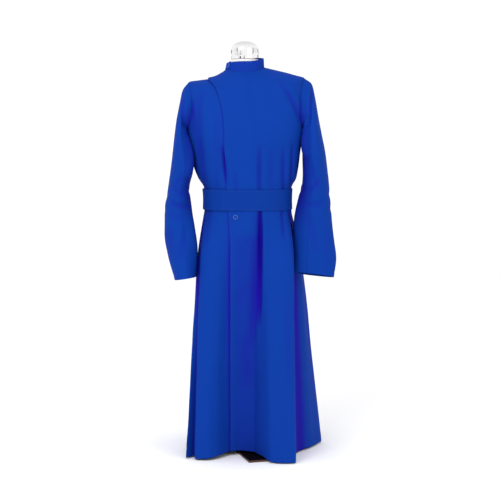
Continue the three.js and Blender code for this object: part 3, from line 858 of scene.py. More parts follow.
@dataclass
class Grid:
    """Rows and columns of places on one cloth piece, with its outer face and its normals, in millimetres."""

    outer: Array
    normals: Array
    # How much painted violet shade each place takes, from 0 to 1
    fold: Array | None = None

    def arc(self, axis: int) -> Array:
        """Length of cloth run along an axis from its first line to each place.

        Args:
            axis: 0 down the rows, 1 across the columns.

        Returns:
            Lengths in millimetres.
        """
        step = np.linalg.norm(np.diff(self.outer, axis=axis), axis=-1)
        start = np.zeros_like(np.take(step, [0], axis=axis))
        return np.cumsum(np.concatenate([start, step], axis=axis), axis=axis)

    def cut(self) -> tuple[tuple[float, float], float]:
        """Width, length and area of the cloth laid flat, in metres and square metres.

        Returns:
            Width and length as a pair, then the area.
        """
        width = self.arc(1)[:, -1].max() * MM
        length = self.arc(0)[-1].max() * MM
        corner = self.outer[:-1, :-1]
        across = self.outer[:-1, 1:] - corner
        down = self.outer[1:, :-1] - corner
        area = np.linalg.norm(np.cross(across, down), axis=-1).sum() * MM**2
        return (width, length), min(area, width * length)

    def edge_distance(self, left: bool, right: bool, top: bool, foot: bool) -> Array:
        """Distance of each place from the nearest of the chosen edges.

        Args:
            left: Whether the first column counts.
            right: Whether the last column counts.
            top: Whether the first row counts.
            foot: Whether the last row counts.

        Returns:
            Distances in millimetres.
        """
        across = self.arc(1)
        down = self.arc(0)
        far = np.full(across.shape, 1e6)
        if left:
            far = np.minimum(far, across)
        if right:
            far = np.minimum(far, across[:, -1:] - across)
        if top:
            far = np.minimum(far, down)
        if foot:
            far = np.minimum(far, down[-1:] - down)
        return far

    def inset_line(self, edge: str, inset: float, skip: float) -> tuple[Array, Array]:
        """Line at a distance inside one edge.

        Args:
            edge: left, right, top or foot.
            inset: Distance from the edge, in millimetres.
            skip: Length left out at each end of the line, in millimetres.

        Returns:
            Points of the line and the normals there.
        """
        axis = 1 if edge in ("left", "right") else 0
        arc = self.arc(axis)
        if edge in ("right", "foot"):
            arc = np.take(arc, [-1], axis=axis) - arc
        points = []
        normals = []
        for k in range(arc.shape[1 - axis]):
            run = np.take(arc, k, axis=1 - axis)
            order = np.argsort(run)
            spots = np.take(self.outer, k, axis=1 - axis)[order]
            faces = np.take(self.normals, k, axis=1 - axis)[order]
            points.append([np.interp(inset, run[order], spots[:, i]) for i in range(3)])
            normals.append([np.interp(inset, run[order], faces[:, i]) for i in range(3)])
        points = np.array(points)
        normals = unit(np.array(normals))
        run = np.concatenate([[0], np.cumsum(np.linalg.norm(np.diff(points, axis=0), axis=1))])
        keep = (run >= skip) & (run <= run[-1] - skip)
        return points[keep], normals[keep]


def build_mesh(
    name: str, vertices: Array, faces: Array, uv: Array | None = None, fold: Array | None = None
) -> bpy.types.Object:
    """Object with a closed mesh whose faces point outwards.

    Args:
        name: Name of the object.
        vertices: Places in millimetres.
        faces: Corners of each quad or triangle.
        uv: Place of each vertex on the flat cloth, in metres.
        fold: How much painted violet shade each vertex takes, from 0 to 1.

    Returns:
        The new object, at the origin.
    """
    faces = np.asarray(faces)
    a, b, c = (vertices[faces[:, k]] for k in range(3))
    volume = np.einsum("ij,ij->i", a, np.cross(b, c)).sum()
    if faces.shape[1] == 4:
        d = vertices[faces[:, 3]]
        volume += np.einsum("ij,ij->i", a, np.cross(c, d)).sum()
    if volume < 0:
        faces = faces[:, ::-1]
    mesh = bpy.data.meshes.new(name)
    mesh.from_pydata((vertices * MM).tolist(), [], faces.tolist())
    mesh.update()
    mesh.polygons.foreach_set("use_smooth", np.ones(len(mesh.polygons), bool))
    if uv is not None:
        layer = mesh.uv_layers.new(name="cloth")
        corner = np.zeros(len(mesh.loops), int)
        mesh.loops.foreach_get("vertex_index", corner)
        layer.data.foreach_set("uv", uv[corner].astype(np.float32).ravel())
        # The painted shade, read by the cloth's material as the attribute fold
        depth = mesh.attributes.new("fold", "FLOAT", "POINT")
        depth.data.foreach_set("value", fold.astype(np.float32))
    return add_object(name, mesh)


def cloth_shell(name: str, grid: Grid, thickness: float) -> bpy.types.Object:
    """Closed thin wall whose outer face is the grid.

    Args:
        name: Name of the object.
        grid: Outer face and normals.
        thickness: Thickness of the cloth, in millimetres.

    Returns:
        The wall as an object.
    """
    rows, columns = grid.outer.shape[:2]
    inner = grid.outer - grid.normals * thickness
    vertices = np.concatenate([grid.outer.reshape(-1, 3), inner.reshape(-1, 3)])
    index = np.arange(rows * columns).reshape(rows, columns)
    back = index + rows * columns

    def quads(a: Array, b: Array, c: Array, d: Array) -> Array:
        """Quads from four matching arrays of corners."""
        return np.stack([a.ravel(), b.ravel(), c.ravel(), d.ravel()], axis=1)

    faces = [
        quads(index[:-1, :-1], index[1:, :-1], index[1:, 1:], index[:-1, 1:]),
        quads(back[:-1, :-1], back[:-1, 1:], back[1:, 1:], back[1:, :-1]),
        quads(index[:-1, 0], back[:-1, 0], back[1:, 0], index[1:, 0]),
        quads(index[:-1, -1], index[1:, -1], back[1:, -1], back[:-1, -1]),
        quads(index[0, :-1], index[0, 1:], back[0, 1:], back[0, :-1]),
        quads(index[-1, :-1], back[-1, :-1], back[-1, 1:], index[-1, 1:]),
    ]
    middle = slice(columns // 2, columns // 2 + 1)
    across = grid.arc(1)
    across = across - across[:, middle]
    down = np.broadcast_to(grid.arc(0)[:, middle], across.shape)
    flat = (np.stack([across, -down], axis=-1) * MM).reshape(-1, 2)
    # Painted shade of each place, none where the grid has none
    fold = np.zeros(rows * columns) if grid.fold is None else grid.fold.ravel()
    return build_mesh(name, vertices, np.concatenate(faces), np.tile(flat, (2, 1)), np.tile(fold, 2))


class Edge(Enum):
    """How an edge of a cloth piece is finished, as dip at the edge and reach of the dip in millimetres."""

    SEAM = (0.45, 1.4)
    FOLDED = (0.5, 1.2)


@dataclass(frozen=True)
class Finish:
    """Hem line and dips of one cloth piece."""

    seams: tuple[bool, bool, bool, bool]
    folded: tuple[bool, bool, bool, bool]
    hem_depth: float = 0.0
    hem_step: float = 0.45
    hem_rise: tuple[float, float] = (-1.5, 2.0)
    dent_place: float = 1.0
    dent_reach: float = 1.5

    def push(self, grid: Grid) -> Array:
        """How far the finish moves each place out, in millimetres.

        Args:
            grid: The piece's grid.

        Returns:
            The move of each place, in millimetres.
        """
        move = np.zeros(grid.outer.shape[:2])
        for edges, kind in ((self.seams, Edge.SEAM), (self.folded, Edge.FOLDED)):
            if any(edges):
                dip, reach = kind.value
                move -= dip * np.exp(-((grid.edge_distance(*edges) / reach) ** 2))
        if self.hem_depth:
            up = grid.edge_distance(False, False, False, True)
            past = up - self.hem_depth
            move += self.hem_step * (1 - smoothstep(past, *self.hem_rise))
            move -= self.hem_step * np.exp(-(((past - self.dent_place) / self.dent_reach) ** 2))
        return move


# Columns and rows: millimetres from a side edge to the close columns of a panel, and of a sleeve; rows of
# a panel from chest to hem; levels of its first rows and the step of the rest down to the shoulder;
# millimetres from the hem to the last rows, the length of cloth that they are counted on, and the room left
# above them
CLOSE_COLUMNS = (SLIT, 1.0, 2.4, 4.4)
SLEEVE_CLOSE = (0.9, 2.3)
CHEST_ROWS, SKIRT_ROWS, TAIL_ROWS = 46, 24, 92
FIRST_LEVELS = (0, 0.04, 0.09)
YOKE_STEP = 0.25
HEM_ROWS = (7.5, 4.5, 2.4, 1.0, 0)
TAIL_LENGTH = 690
TAIL_ROOM = 0.006


def spread(start: Array, end: Array, start_scale: Array, end_scale: Array, count: int) -> Array:
    """Columns between two edges, closer together next to the edges.

    Args:
        start: Place of the first edge in each row.
        end: Place of the last edge in each row.
        start_scale: Millimetres for each unit at the first edge.
        end_scale: Millimetres for each unit at the last edge.
        count: Even steps between the close columns.

    Returns:
        One row of column places for each row.
    """
    first = [start + gap / start_scale for gap in CLOSE_COLUMNS]
    last = [end - gap / end_scale for gap in CLOSE_COLUMNS[::-1]]
    middle = np.linspace(first[-1], last[0], count + 1)[1:-1]
    return np.stack([*first, *middle, *last], axis=1)


def panel_levels() -> Array:
    """Levels of the rows of the body's panels, closer along the armhole and at both ends.

    Returns:
        Rising levels from the neckline to the hem.
    """
    turns = np.linspace(0, math.pi, ARMHOLE_STEPS + 1)
    yoke = np.concatenate([FIRST_LEVELS, np.arange(YOKE_STEP, SHOULDER_POINT - 0.01, YOKE_STEP)])
    chest = np.linspace(UNDERARM, WAIST, CHEST_ROWS)[1:]
    skirt = np.linspace(WAIST, THIGH, SKIRT_ROWS)[1:]
    tail = THIGH + np.linspace(0, 1, TAIL_ROWS)[1:-1]
    end = HEM - np.array(HEM_ROWS) / TAIL_LENGTH
    tail = tail[tail < end[0] - TAIL_ROOM]
    return np.concatenate([yoke, BODY.armhole_level(turns), chest, skirt, tail, end])


LEVEL_ROWS = panel_levels()


def lap_lift(angle: Array, level: Array) -> Array:
    """How far the lapping front stands off the one beneath, easing down past that one's hidden edge.

    Args:
        angle: Degrees round the wearer.
        level: Levels down the body.

    Returns:
        The move of each place, in millimetres.
    """
    over = 1 - smoothstep(angle - BODY.hidden_angle(level), *LAP_EASE)
    shoulder = smoothstep(SHOULDER_ROOM_FOOT - level, 0, SHOULDER_ROOM_RUN)
    below_neck = smoothstep(level, 0, NECK_EASE)
    return (CLOTH + SEAM + LAP_ROOM + SHOULDER_ROOM * shoulder) * over * below_neck


def neck_sink(angle: Array, level: Array) -> Array:
    """How far the front beneath is pressed in at the neckline, where both fronts are sewn to the collar.

    Args:
        angle: Degrees round the wearer.
        level: Levels down the body.

    Returns:
        The move of each place, in millimetres.
    """
    start = BODY.lap_angle(level)
    beneath = smoothstep(angle, start - SINK_START, start - SINK_END)
    return -(CLOTH + SEAM) * beneath * (1 - smoothstep(level, 0, NECK_EASE))


def under_lap(angle: Array, level: Array) -> Array:
    """How much painted shade a place of the front beneath takes beside the lapped edge, and beside the
    armhole.

    Args:
        angle: Degrees round the wearer.
        level: Levels down the body.

    Returns:
        The painted shade of each place, from 0 to 1.
    """
    out = np.maximum(BODY.lap_angle(level) - angle, 0) * BODY.per_degree(angle, level)
    low = smoothstep(level, *LAP_SHADE_RISE)
    reach = LAP_SHADE_REACH + LAP_SHADE_REACH_LOW * low
    return (LAP_SHADE + LAP_SHADE_LOW * low) * np.exp(-((out / reach) ** 2)) + beside_armhole(angle, level)


def beside_armhole(angle: Array, level: Array) -> Array:
    """How much painted shade a place of either front takes between armhole and sleeve.

    Args:
        angle: Degrees round the wearer.
        level: Levels down the body.

    Returns:
        The painted shade of each place, from 0 to 1.
    """
    edge = 90 - BODY.armhole_half_angle(level)
    out = (edge - np.abs(angle)) * BODY.per_degree(angle, level)
    ends = window(level, ARMHOLE_SHADE_RISE, ARMHOLE_SHADE_FALL)
    return ARMHOLE_SHADE * ends * np.exp(-((out / ARMHOLE_SHADE_REACH) ** 2))


def beneath_belt(level: Array) -> Array:
    """Where the belt holds the cloth flat, from 0 clear of it to 1 beneath it."""
    return window(level, HOLD_RISE, HOLD_FALL)


def body_grid(
    angles: Array,
    finish: Finish,
    lift: Callable[[Array, Array], Array] | None = None,
    shade: Callable[[Array, Array], Array] | None = None,
) -> Grid:
    """Panel of the body between its edges.

    Args:
        angles: Angles of the columns in each row of LEVEL_ROWS.
        finish: Hem and edges of the panel.
        lift: How far the panel stands off the body's surface.
        shade: How much painted shade its places take besides that of the creases and the named places.

    Returns:
        The grid of its outer face.
    """
    levels = np.broadcast_to(LEVEL_ROWS[:, None], angles.shape)
    base = BODY.point(angles, levels)
    normals = BODY.normal(angles, levels)
    body = press(base, normals, BODY_CREASES)
    outward = np.einsum("ijk,ijk->ij", body.points - base, normals)
    held = np.maximum(outward - BELT_ROOM, 0) * beneath_belt(levels)
    points = body.points - normals * held[..., None]
    if lift is not None:
        points = points + normals * lift(angles, levels)[..., None]
    # Painted violet shade: from the creases' depth, at the named places and the panel's own
    fold = body.fold + sum(shade.amount(angles, levels) for shade in BODY_SHADES)
    if shade is not None:
        fold = fold + shade(angles, levels)
    return finished(Grid(points, normals, np.clip(fold, 0, 1)), finish)


def finished(grid: Grid, finish: Finish) -> Grid:
    """Grid with its hem and edges pressed in, and its normals worked out again.

    Args:
        grid: Piece to finish.
        finish: Its hem and edges.

    Returns:
        The same grid.
    """
    guide = grid.normals
    grid.outer = grid.outer + guide * finish.push(grid)[..., None]
    grid.normals = grid_normals(grid.outer, guide)
    return grid


def grid_normals(points: Array, guide: Array) -> Array:
    """Normals of a grid of places, on the same side as the guide normals.

    Args:
        points: Rows and columns of places.
        guide: Rough normals there.

    Returns:
        Unit normals of the places.
    """
    across = np.gradient(points, axis=1)
    down = np.gradient(points, axis=0)
    normals = unit(np.cross(down, across))
    return normals * np.sign(np.einsum("ijk,ijk->ij", normals, guide))[..., None]


class Value:
    """A shader socket that can be used in sums, so that maths on values reads as maths."""

    def __init__(self, nodes: "Nodes", socket: bpy.types.NodeSocket) -> None:
        """Holds a socket and the tree that it is in."""
        self.nodes = nodes
        self.socket = socket

    def _math(self, operation: str, *values: "Value | float") -> "Value":
        """Result of a Math node."""
        return self.nodes.add("ShaderNodeMath", {"operation": operation}, dict(enumerate(values)))

    def __add__(self, other: "Value | float") -> "Value":
        """Sum."""
        return self._math("ADD", self, other)

    def __sub__(self, other: "Value | float") -> "Value":
        """Difference."""
        return self._math("SUBTRACT", self, other)

    def __rsub__(self, other: float) -> "Value":
        """Difference from a number."""
        return self._math("SUBTRACT", other, self)

    def __mul__(self, other: "Value | float") -> "Value":
        """Product."""
        return self._math("MULTIPLY", self, other)

    __rmul__ = __mul__

    def sine(self) -> "Value":
        """Sine, in radians."""
        return self._math("SINE", self)

    def clamped(self, low: float, high: float) -> "Value":
        """Value held between two limits."""
        return self._math("MINIMUM", self._math("MAXIMUM", self, low), high)


class Nodes:
    """Builder of one material's shader nodes."""

    def __init__(self, name: str) -> None:
        """Makes an empty node material.

        Args:
            name: Name of the material.
        """
        self.material = bpy.data.materials.new(name)
        self.material.use_nodes = True
        self.tree = self.material.node_tree
        self.tree.nodes.clear()

    def add(
        self, kind: str, settings: dict | None = None, inputs: dict | None = None, output: int | str = 0
    ) -> Value:
        """Adds one node.

        Args:
            kind: Blender's node type.
            settings: Properties that are set first.
            inputs: Values or links of its sockets, by name or number.
            output: Output that is handed back.

        Returns:
            The chosen output.
        """
        node = self.tree.nodes.new(kind)
        for key, value in (settings or {}).items():
            setattr(node, key, value)
        for key, value in (inputs or {}).items():
            socket = node.inputs[key]
            if isinstance(value, Value):
                self.tree.links.new(value.socket, socket)
            else:
                socket.default_value = value
        return Value(self, node.outputs[output] if node.outputs else None)

    def coordinates(self, output: str, scale: tuple[float, float, float] = (1, 1, 1)) -> Value:
        """Texture coordinates, scaled by a Mapping node."""
        source = self.add("ShaderNodeTexCoord", output=output)
        return self.add("ShaderNodeMapping", {}, {"Vector": source, "Scale": scale})

    def noise(self, vector: Value, scale: float, detail: float = 2.0, roughness: float = 0.5) -> Value:
        """Noise from about 0 to 1."""
        inputs = {"Vector": vector, "Scale": scale, "Detail": detail, "Roughness": roughness}
        return self.add("ShaderNodeTexNoise", inputs=inputs)

    def mix_colour(self, factor: Value, first: "Value | tuple", second: "Value | tuple") -> Value:
        """Mix of two colours by a factor."""
        first, second = (c if isinstance(c, Value) else (*c, 1.0) for c in (first, second))
        return self.add("ShaderNodeMix", {"data_type": "RGBA"}, {0: factor, 6: first, 7: second}, output=2)

    def bump(self, height: Value, distance: float, strength: float) -> Value:
        """Normal from a height in units of the distance."""
        return self.add("ShaderNodeBump", {}, {"Height": height, "Distance": distance, "Strength": strength})

    def surface(self, inputs: dict) -> bpy.types.Material:
        """Closes the material with one Principled shader.

        Args:
            inputs: Values or links of its sockets.

        Returns:
            The finished material.
        """
        shader = self.add("ShaderNodeBsdfPrincipled", inputs=inputs)
        self.add("ShaderNodeOutputMaterial", inputs={"Surface": shader})
        return self.material


def linear(red: int, green: int, blue: int) -> tuple[float, float, float]:
    """Linear colour of 8-bit screen values."""
    shares = [v / 255 for v in (red, green, blue)]
    return tuple(v / 12.92 if v <= 0.04045 else ((v + 0.055) / 1.055) ** 2.4 for v in shares)


@dataclass(frozen=True)
class SuitingCloth:
    """Matt polyester suiting in a fine twill."""

    name: str = "royal_blue_suiting"
    tone: float = 1.0
    colour: tuple[float, float, float] = linear(5, 54, 148)
    deep: tuple[float, float, float] = linear(4, 49, 138)
    # Colour of the painted shade in folds and hollows
    painted_shade: tuple[float, float, float] = linear(20, 8, 142)
    twill: float = 0.9
    roughness: float = 0.78

    def build(self) -> bpy.types.Material:
        """Makes the material.

        Returns:
            Cloth with twill lines, slubs, faint shade changes and painted violet shade in folds and hollows.
        """
        nodes = Nodes(self.name)
        flat = nodes.coordinates("UV")
        u = nodes.add("ShaderNodeSeparateXYZ", inputs={"Vector": flat})
        v = Value(nodes, u.socket.node.outputs[1])
        turns = 2 * math.pi / (self.twill * MM)
        wander = nodes.noise(flat, 160.0, 2.0)
        lines = ((u + v * 0.6) * turns + wander * 5.0).sine()
        threads = (u * (turns * 2.1)).sine()
        slub = nodes.noise(nodes.coordinates("UV", (260.0, 900.0, 1.0)), 1.0, 2.0)
        patch = nodes.noise(nodes.coordinates("Object"), 5.0, 3.0)
        shade = (patch * 0.7 + slub * 0.3 + lines * 0.03).clamped(0.0, 1.0)
        deep, colour = (tuple(self.tone * c for c in tint) for tint in (self.deep, self.colour))
        lit = nodes.mix_colour(shade, deep, colour)
        # Painted violet shade, as much as the fold attribute gives
        depth = nodes.add("ShaderNodeAttribute", {"attribute_name": "fold"}, output="Fac")
        colour = nodes.mix_colour(depth, lit, self.painted_shade)
        rough = (0.06 * slub + (self.roughness - 0.03)).clamped(0.0, 1.0)
        height = lines * 0.35 + threads * 0.12 + slub * 0.8
        normal = nodes.bump(height, 0.05 * MM, 0.6)
        return nodes.surface(
            {
                "Base Color": colour,
                "Roughness": rough,
                "Normal": normal,
                "IOR": 1.2,
                "Specular IOR Level": 0.3,
                "Sheen Weight": 0.02,
                "Sheen Roughness": 0.6,
                "Sheen Tint": (0.05, 0.2, 1.0, 1.0),
            }
        )


@dataclass(frozen=True)
class Coating:
    """Hard finish: painted, chromed or moulded."""

    name: str
    colour: tuple[float, float, float]
    worn: tuple[float, float, float]
    roughness: float
    metallic: float = 0.0
    grain: float = 90.0
    relief: float = 0.02
    ior: float = 1.5

    def build(self) -> bpy.types.Material:
        """Makes the material.

        Returns:
            Finish with fine unevenness in colour, gloss and relief.
        """
        nodes = Nodes(self.name)
        place = nodes.coordinates("Object")
        fine = nodes.noise(place, self.grain, 3.0)
        broad = nodes.noise(place, self.grain / 9, 2.0)
        colour = nodes.mix_colour((fine * 0.5 + broad * 0.5).clamped(0, 1), self.colour, self.worn)
        rough = (broad * 0.12 + (self.roughness - 0.06)).clamped(0.02, 1.0)
        return nodes.surface(
            {
                "Base Color": colour,
                "Roughness": rough,
                "Metallic": self.metallic,
                "IOR": self.ior,
                "Normal": nodes.bump(fine, self.relief * MM, 0.5),
            }
        )


@dataclass(frozen=True)
class PolishedChrome:
    """Mirror-bright chrome with painted reflections: greyer on its dome, with dark thin streaks down it near
    its foot.
    """

    name: str = "polished_chrome"
    dome: tuple[float, float, float] = (0.64, 0.64, 0.65)
    bright: tuple[float, float, float] = (0.88, 0.875, 0.88)
    dark: tuple[float, float, float] = (0.07, 0.055, 0.05)
    roughness: float = 0.14
    streak_top: float = 1.412
    fade: float = 0.018
    dome_foot: float = 1.411

    def build(self) -> bpy.types.Material:
        """Makes the material.

        Returns:
            Chrome whose painted reflected streaks thin out towards the top.
        """
        nodes = Nodes(self.name)
        place = nodes.coordinates("Object")
        height = nodes.add("ShaderNodeSeparateXYZ", inputs={"Vector": place}, output=2)
        # Painted reflections: dark streaks near the foot, and a greyer dome above a brighter wall
        low = ((self.streak_top - height) * (1 / self.fade)).clamped(0.0, 1.0)
        reflection_noise = nodes.noise(nodes.coordinates("Object", (230.0, 230.0, 14.0)), 1.0, 2.0, 0.6)
        broken = nodes.noise(nodes.coordinates("Object", (60.0, 60.0, 90.0)), 1.0, 2.0)
        streak = ((reflection_noise - 0.52) * 16.0).clamped(0.0, 1.0) * ((broken - 0.4) * 7.0).clamped(0.0, 1.0)
        on_dome = ((height - self.dome_foot) * (1 / self.fade)).clamped(0.0, 1.0)
        plain = nodes.mix_colour(on_dome, self.bright, self.dome)
        colour = nodes.mix_colour(streak * low, plain, self.dark)
        fine = nodes.noise(place, 700.0, 2.0)
        return nodes.surface(
            {
                "Base Color": colour,
                "Roughness": fine * 0.05 + (self.roughness - 0.025),
                "Metallic": 1.0,
                "Normal": nodes.bump(fine, 0.005 * MM, 0.3),
            }
        )


SUITING = SuitingCloth()
# The same suiting, darker all over the belt: painted shade
BELTING = SuitingCloth("belt_suiting_shaded", tone=0.88)
THREAD = Coating("sewing_thread", linear(10, 52, 142), linear(14, 58, 152), 0.6, grain=900.0)
BUTTON = Coating("blue_button", linear(8, 40, 120), linear(12, 46, 128), 0.45, grain=300.0, ior=1.3)
# The button's rim is lighter than its middle: painted highlight
RIM_HIGHLIGHT_TONES = (linear(34, 92, 184), linear(42, 100, 190))
BUTTON_RIM_HIGHLIGHT = Coating("blue_button_rim_highlight", *RIM_HIGHLIGHT_TONES, 0.45, grain=300.0, ior=1.3)
CHROME = PolishedChrome()
TUBE = Coating("chromed_tube", (0.8, 0.8, 0.81), (0.72, 0.72, 0.74), 0.16, metallic=1.0, grain=40.0)
JERSEY = Coating("form_jersey", linear(232, 230, 226), linear(224, 221, 216), 0.8, grain=1400.0, relief=0.2)
ENAMEL = Coating("black_enamel", linear(9, 5, 4), linear(16, 10, 7), 0.6, grain=60.0, ior=1.1)
CUT_EDGE = Coating("bare_cut_edge", linear(92, 62, 52), linear(66, 44, 38), 0.5, grain=500.0, ior=1.3)


class StitchTree:
    """Geometry Nodes tree that lays stitches along a path."""

    def __init__(self) -> None:
        """Builds the tree once."""
        self.tree = bpy.data.node_groups.new("stitch_row", "GeometryNodeTree")
        self.inputs = {}
        face = self.tree.interface
        face.new_socket("Geometry", in_out="OUTPUT", socket_type="NodeSocketGeometry")
        for name, kind, default in (
            ("Geometry", "NodeSocketGeometry", None),
            ("Pitch", "NodeSocketFloat", 0.003),
            ("Length", "NodeSocketFloat", 0.0022),
            ("Radius", "NodeSocketFloat", 0.0003),
            ("Seed", "NodeSocketInt", 3),
            ("Material", "NodeSocketMaterial", None),
        ):
            socket = face.new_socket(name, in_out="INPUT", socket_type=kind)
            if default is not None:
                socket.default_value = default
            self.inputs[name] = socket.identifier
        self._wire()

    def _node(self, kind: str, settings: dict | None = None, inputs: dict | None = None) -> bpy.types.Node:
        """Adds one node with its settings and its links or values.

        Args:
            kind: Blender's node type.
            settings: Properties that are set first.
            inputs: Values or links of its sockets.

        Returns:
            The new node.
        """
        node = self.tree.nodes.new(kind)
        for key, value in (settings or {}).items():
            setattr(node, key, value)
        for key, value in (inputs or {}).items():
            if isinstance(value, bpy.types.NodeSocket):
                self.tree.links.new(value, node.inputs[key])
            else:
                node.inputs[key].default_value = value
        return node

    def _wire(self) -> None:
        """Wires path, stitch shape, placing and finish."""
        start = self._node("NodeGroupInput").outputs
        path = self._node("GeometryNodeMeshToCurve", inputs={"Mesh": start["Geometry"]})
        even = self._node(
            "GeometryNodeResampleCurve",
            {"mode": "LENGTH"},
            {"Curve": path.outputs[0], "Length": start["Pitch"]},
        )
        ball = self._node("GeometryNodeMeshUVSphere", inputs={"Segments": 6, "Rings": 4, "Radius": 1.0})
        half = self._node("ShaderNodeMath", {"operation": "MULTIPLY"}, {0: start["Length"], 1: 0.5})
        size = self._node(
            "ShaderNodeCombineXYZ", inputs={"X": half.outputs[0], "Y": start["Radius"], "Z": start["Radius"]}
        )
        stitch = self._node(
            "GeometryNodeTransform", inputs={"Geometry": ball.outputs[0], "Scale": size.outputs[0]}
        )
        along = self._node("GeometryNodeInputTangent")
        turn = self._node("FunctionNodeAlignRotationToVector", {"axis": "X"}, {"Vector": along.outputs[0]})
        out = self._node("GeometryNodeInputNamedAttribute", {"data_type": "FLOAT_VECTOR"}, {"Name": "face"})
        level = self._node(
            "FunctionNodeAlignRotationToVector",
            {"axis": "Z", "pivot_axis": "X"},
            {"Rotation": turn.outputs[0], "Vector": out.outputs[0]},
        )
        vary = self._node(
            "FunctionNodeRandomValue",
            {"data_type": "FLOAT"},
            {"Min": 0.92, "Max": 1.06, "Seed": start["Seed"]},
        )
        vary_value = next(s for s in vary.outputs if s.enabled and s.type == "VALUE")
        placed = self._node(
            "GeometryNodeInstanceOnPoints",
            inputs={
                "Points": even.outputs[0],
                "Instance": stitch.outputs[0],
                "Rotation": level.outputs[0],
                "Scale": vary_value,
            },
        )
        real = self._node("GeometryNodeRealizeInstances", inputs={"Geometry": placed.outputs[0]})
        smooth = self._node("GeometryNodeSetShadeSmooth", inputs={"Geometry": real.outputs[0]})
        dressed = self._node(
            "GeometryNodeSetMaterial", inputs={"Geometry": smooth.outputs[0], "Material": start["Material"]}
        )
        self._node("NodeGroupOutput", inputs={"Geometry": dressed.outputs[0]})

    def lay(
        self, name: str, paths: Sequence[tuple[Array, Array]], material: bpy.types.Material
    ) -> bpy.types.Object:
        """Lays stitches along some paths.

        Args:
            name: Name of the piece.
            paths: Points and outward normals of each path, in millimetres.
            material: Finish of the thread.

        Returns:
            The stitches as one plain mesh.
        """
        points = np.concatenate([spots + normals * STITCH_RISE for spots, normals in paths])
        edges = []
        start = 0
        for spots, _ in paths:
            edges += [(start + i, start + i + 1) for i in range(len(spots) - 1)]
            start += len(spots)
        mesh = bpy.data.meshes.new(name + "_path")
        mesh.from_pydata((points * MM).tolist(), edges, [])
        face = mesh.attributes.new("face", "FLOAT_VECTOR", "POINT")
        face.data.foreach_set("vector", np.concatenate([n for _, n in paths]).astype(np.float32).ravel())
        carrier = add_object(name + "_path", mesh)
        modifier = carrier.modifiers.new("stitches", "NODES")
        modifier.node_group = self.tree
        modifier[self.inputs["Material"]] = material
        evaluated = carrier.evaluated_get(bpy.context.evaluated_depsgraph_get())
        plain = bpy.data.meshes.new_from_object(evaluated)
        plain.name = name
        bpy.data.objects.remove(carrier)
        return add_object(name, plain)


def finish_piece(
    piece: bpy.types.Object, replaces: str | None, material: bpy.types.Material | None
) -> None:
    """Dresses a piece and ties it to the frame.

    Args:
        piece: The finished object.
        replaces: Solid of the frame that it stands for.
        material: Finish, if it isn't set yet.
    """
    if material is not None:
        set_finishes(piece.data, material)
    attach(piece, "root")
    if replaces:
        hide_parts(replaces)
    log.info("%s: %d faces", piece.name, len(piece.data.polygons))


def hang(piece: bpy.types.Object, grid: Grid) -> None:
    """Logs how a piece is cut: its width and length laid flat, and its area.

    Args:
        piece: The cloth piece.
        grid: Its outer face.
    """
    flat, area = grid.cut()
    log.info("%s: %.3f by %.3f m, %.3f m2", piece.name, *flat, area)


@dataclass
class Panels:
    """The four panels of the body."""

    front_columns: int = 100
    under_columns: int = 70
    back_columns: int = 74
    hem_turn: float = 32.0
    grids: dict[str, Grid] = field(default_factory=dict)

    def build(self, material: bpy.types.Material) -> None:
        """Builds and dresses the four panels.

        Args:
            material: Finish of the cloth.
        """
        for name, node, grid in (
            ("left_front", "front_over", self.left_front()),
            ("right_front", "front_under", self.right_front()),
            ("left_back", "back_left", self.back(1)),
            ("right_back", "back_right", self.back(-1)),
        ):
            self.grids[name] = grid
            piece = cloth_shell(name, grid, THIN)
            finish_piece(piece, node, material)
            hang(piece, grid)

    @staticmethod
    def _columns(start: Array, end: Array, count: int) -> Array:
        """Columns between two edges given as angles in each row.

        Args:
            start: First edge in each row.
            end: Last edge in each row.
            count: Even steps between the close columns.

        Returns:
            Angles, one row for each level.
        """
        first = BODY.per_degree(start, LEVEL_ROWS)
        last = BODY.per_degree(end, LEVEL_ROWS)
        return spread(start, end, first, last, count)

    def left_front(self) -> Grid:
        """The front that laps over, from its lapped edge to the left side seam.

        Returns:
            The grid of its outer face.
        """
        end = 90 - BODY.armhole_half_angle(LEVEL_ROWS)
        angles = self._columns(BODY.lap_angle(LEVEL_ROWS), end, self.front_columns)
        finish = Finish((False, True, False, False), (True, False, False, True), self.hem_turn)
        return body_grid(angles, finish, lap_lift, beside_armhole)

    def right_front(self) -> Grid:
        """The front beneath, from the right side seam to its hidden edge.

        Returns:
            The grid of its outer face.
        """
        start = -90 + BODY.armhole_half_angle(LEVEL_ROWS)
        angles = self._columns(start, BODY.hidden_angle(LEVEL_ROWS), self.under_columns)
        finish = Finish((True, False, False, False), (False, True, False, True), self.hem_turn)
        return body_grid(angles, finish, neck_sink, under_lap)

    def back(self, side: int) -> Grid:
        """One half of the back, from the side seam to the centre back.

        Args:
            side: 1 for the wearer's left, -1 for the right.

        Returns:
            The grid of its outer face.
        """
        edge = side * (90 + BODY.armhole_half_angle(LEVEL_ROWS))
        middle = np.full(len(LEVEL_ROWS), 180.0 * side)
        start, end = (edge, middle) if side > 0 else (middle, edge)
        angles = self._columns(start, end, self.back_columns)
        finish = Finish((True, True, False, False), (False, False, False, True), self.hem_turn)
        return body_grid(angles, finish)


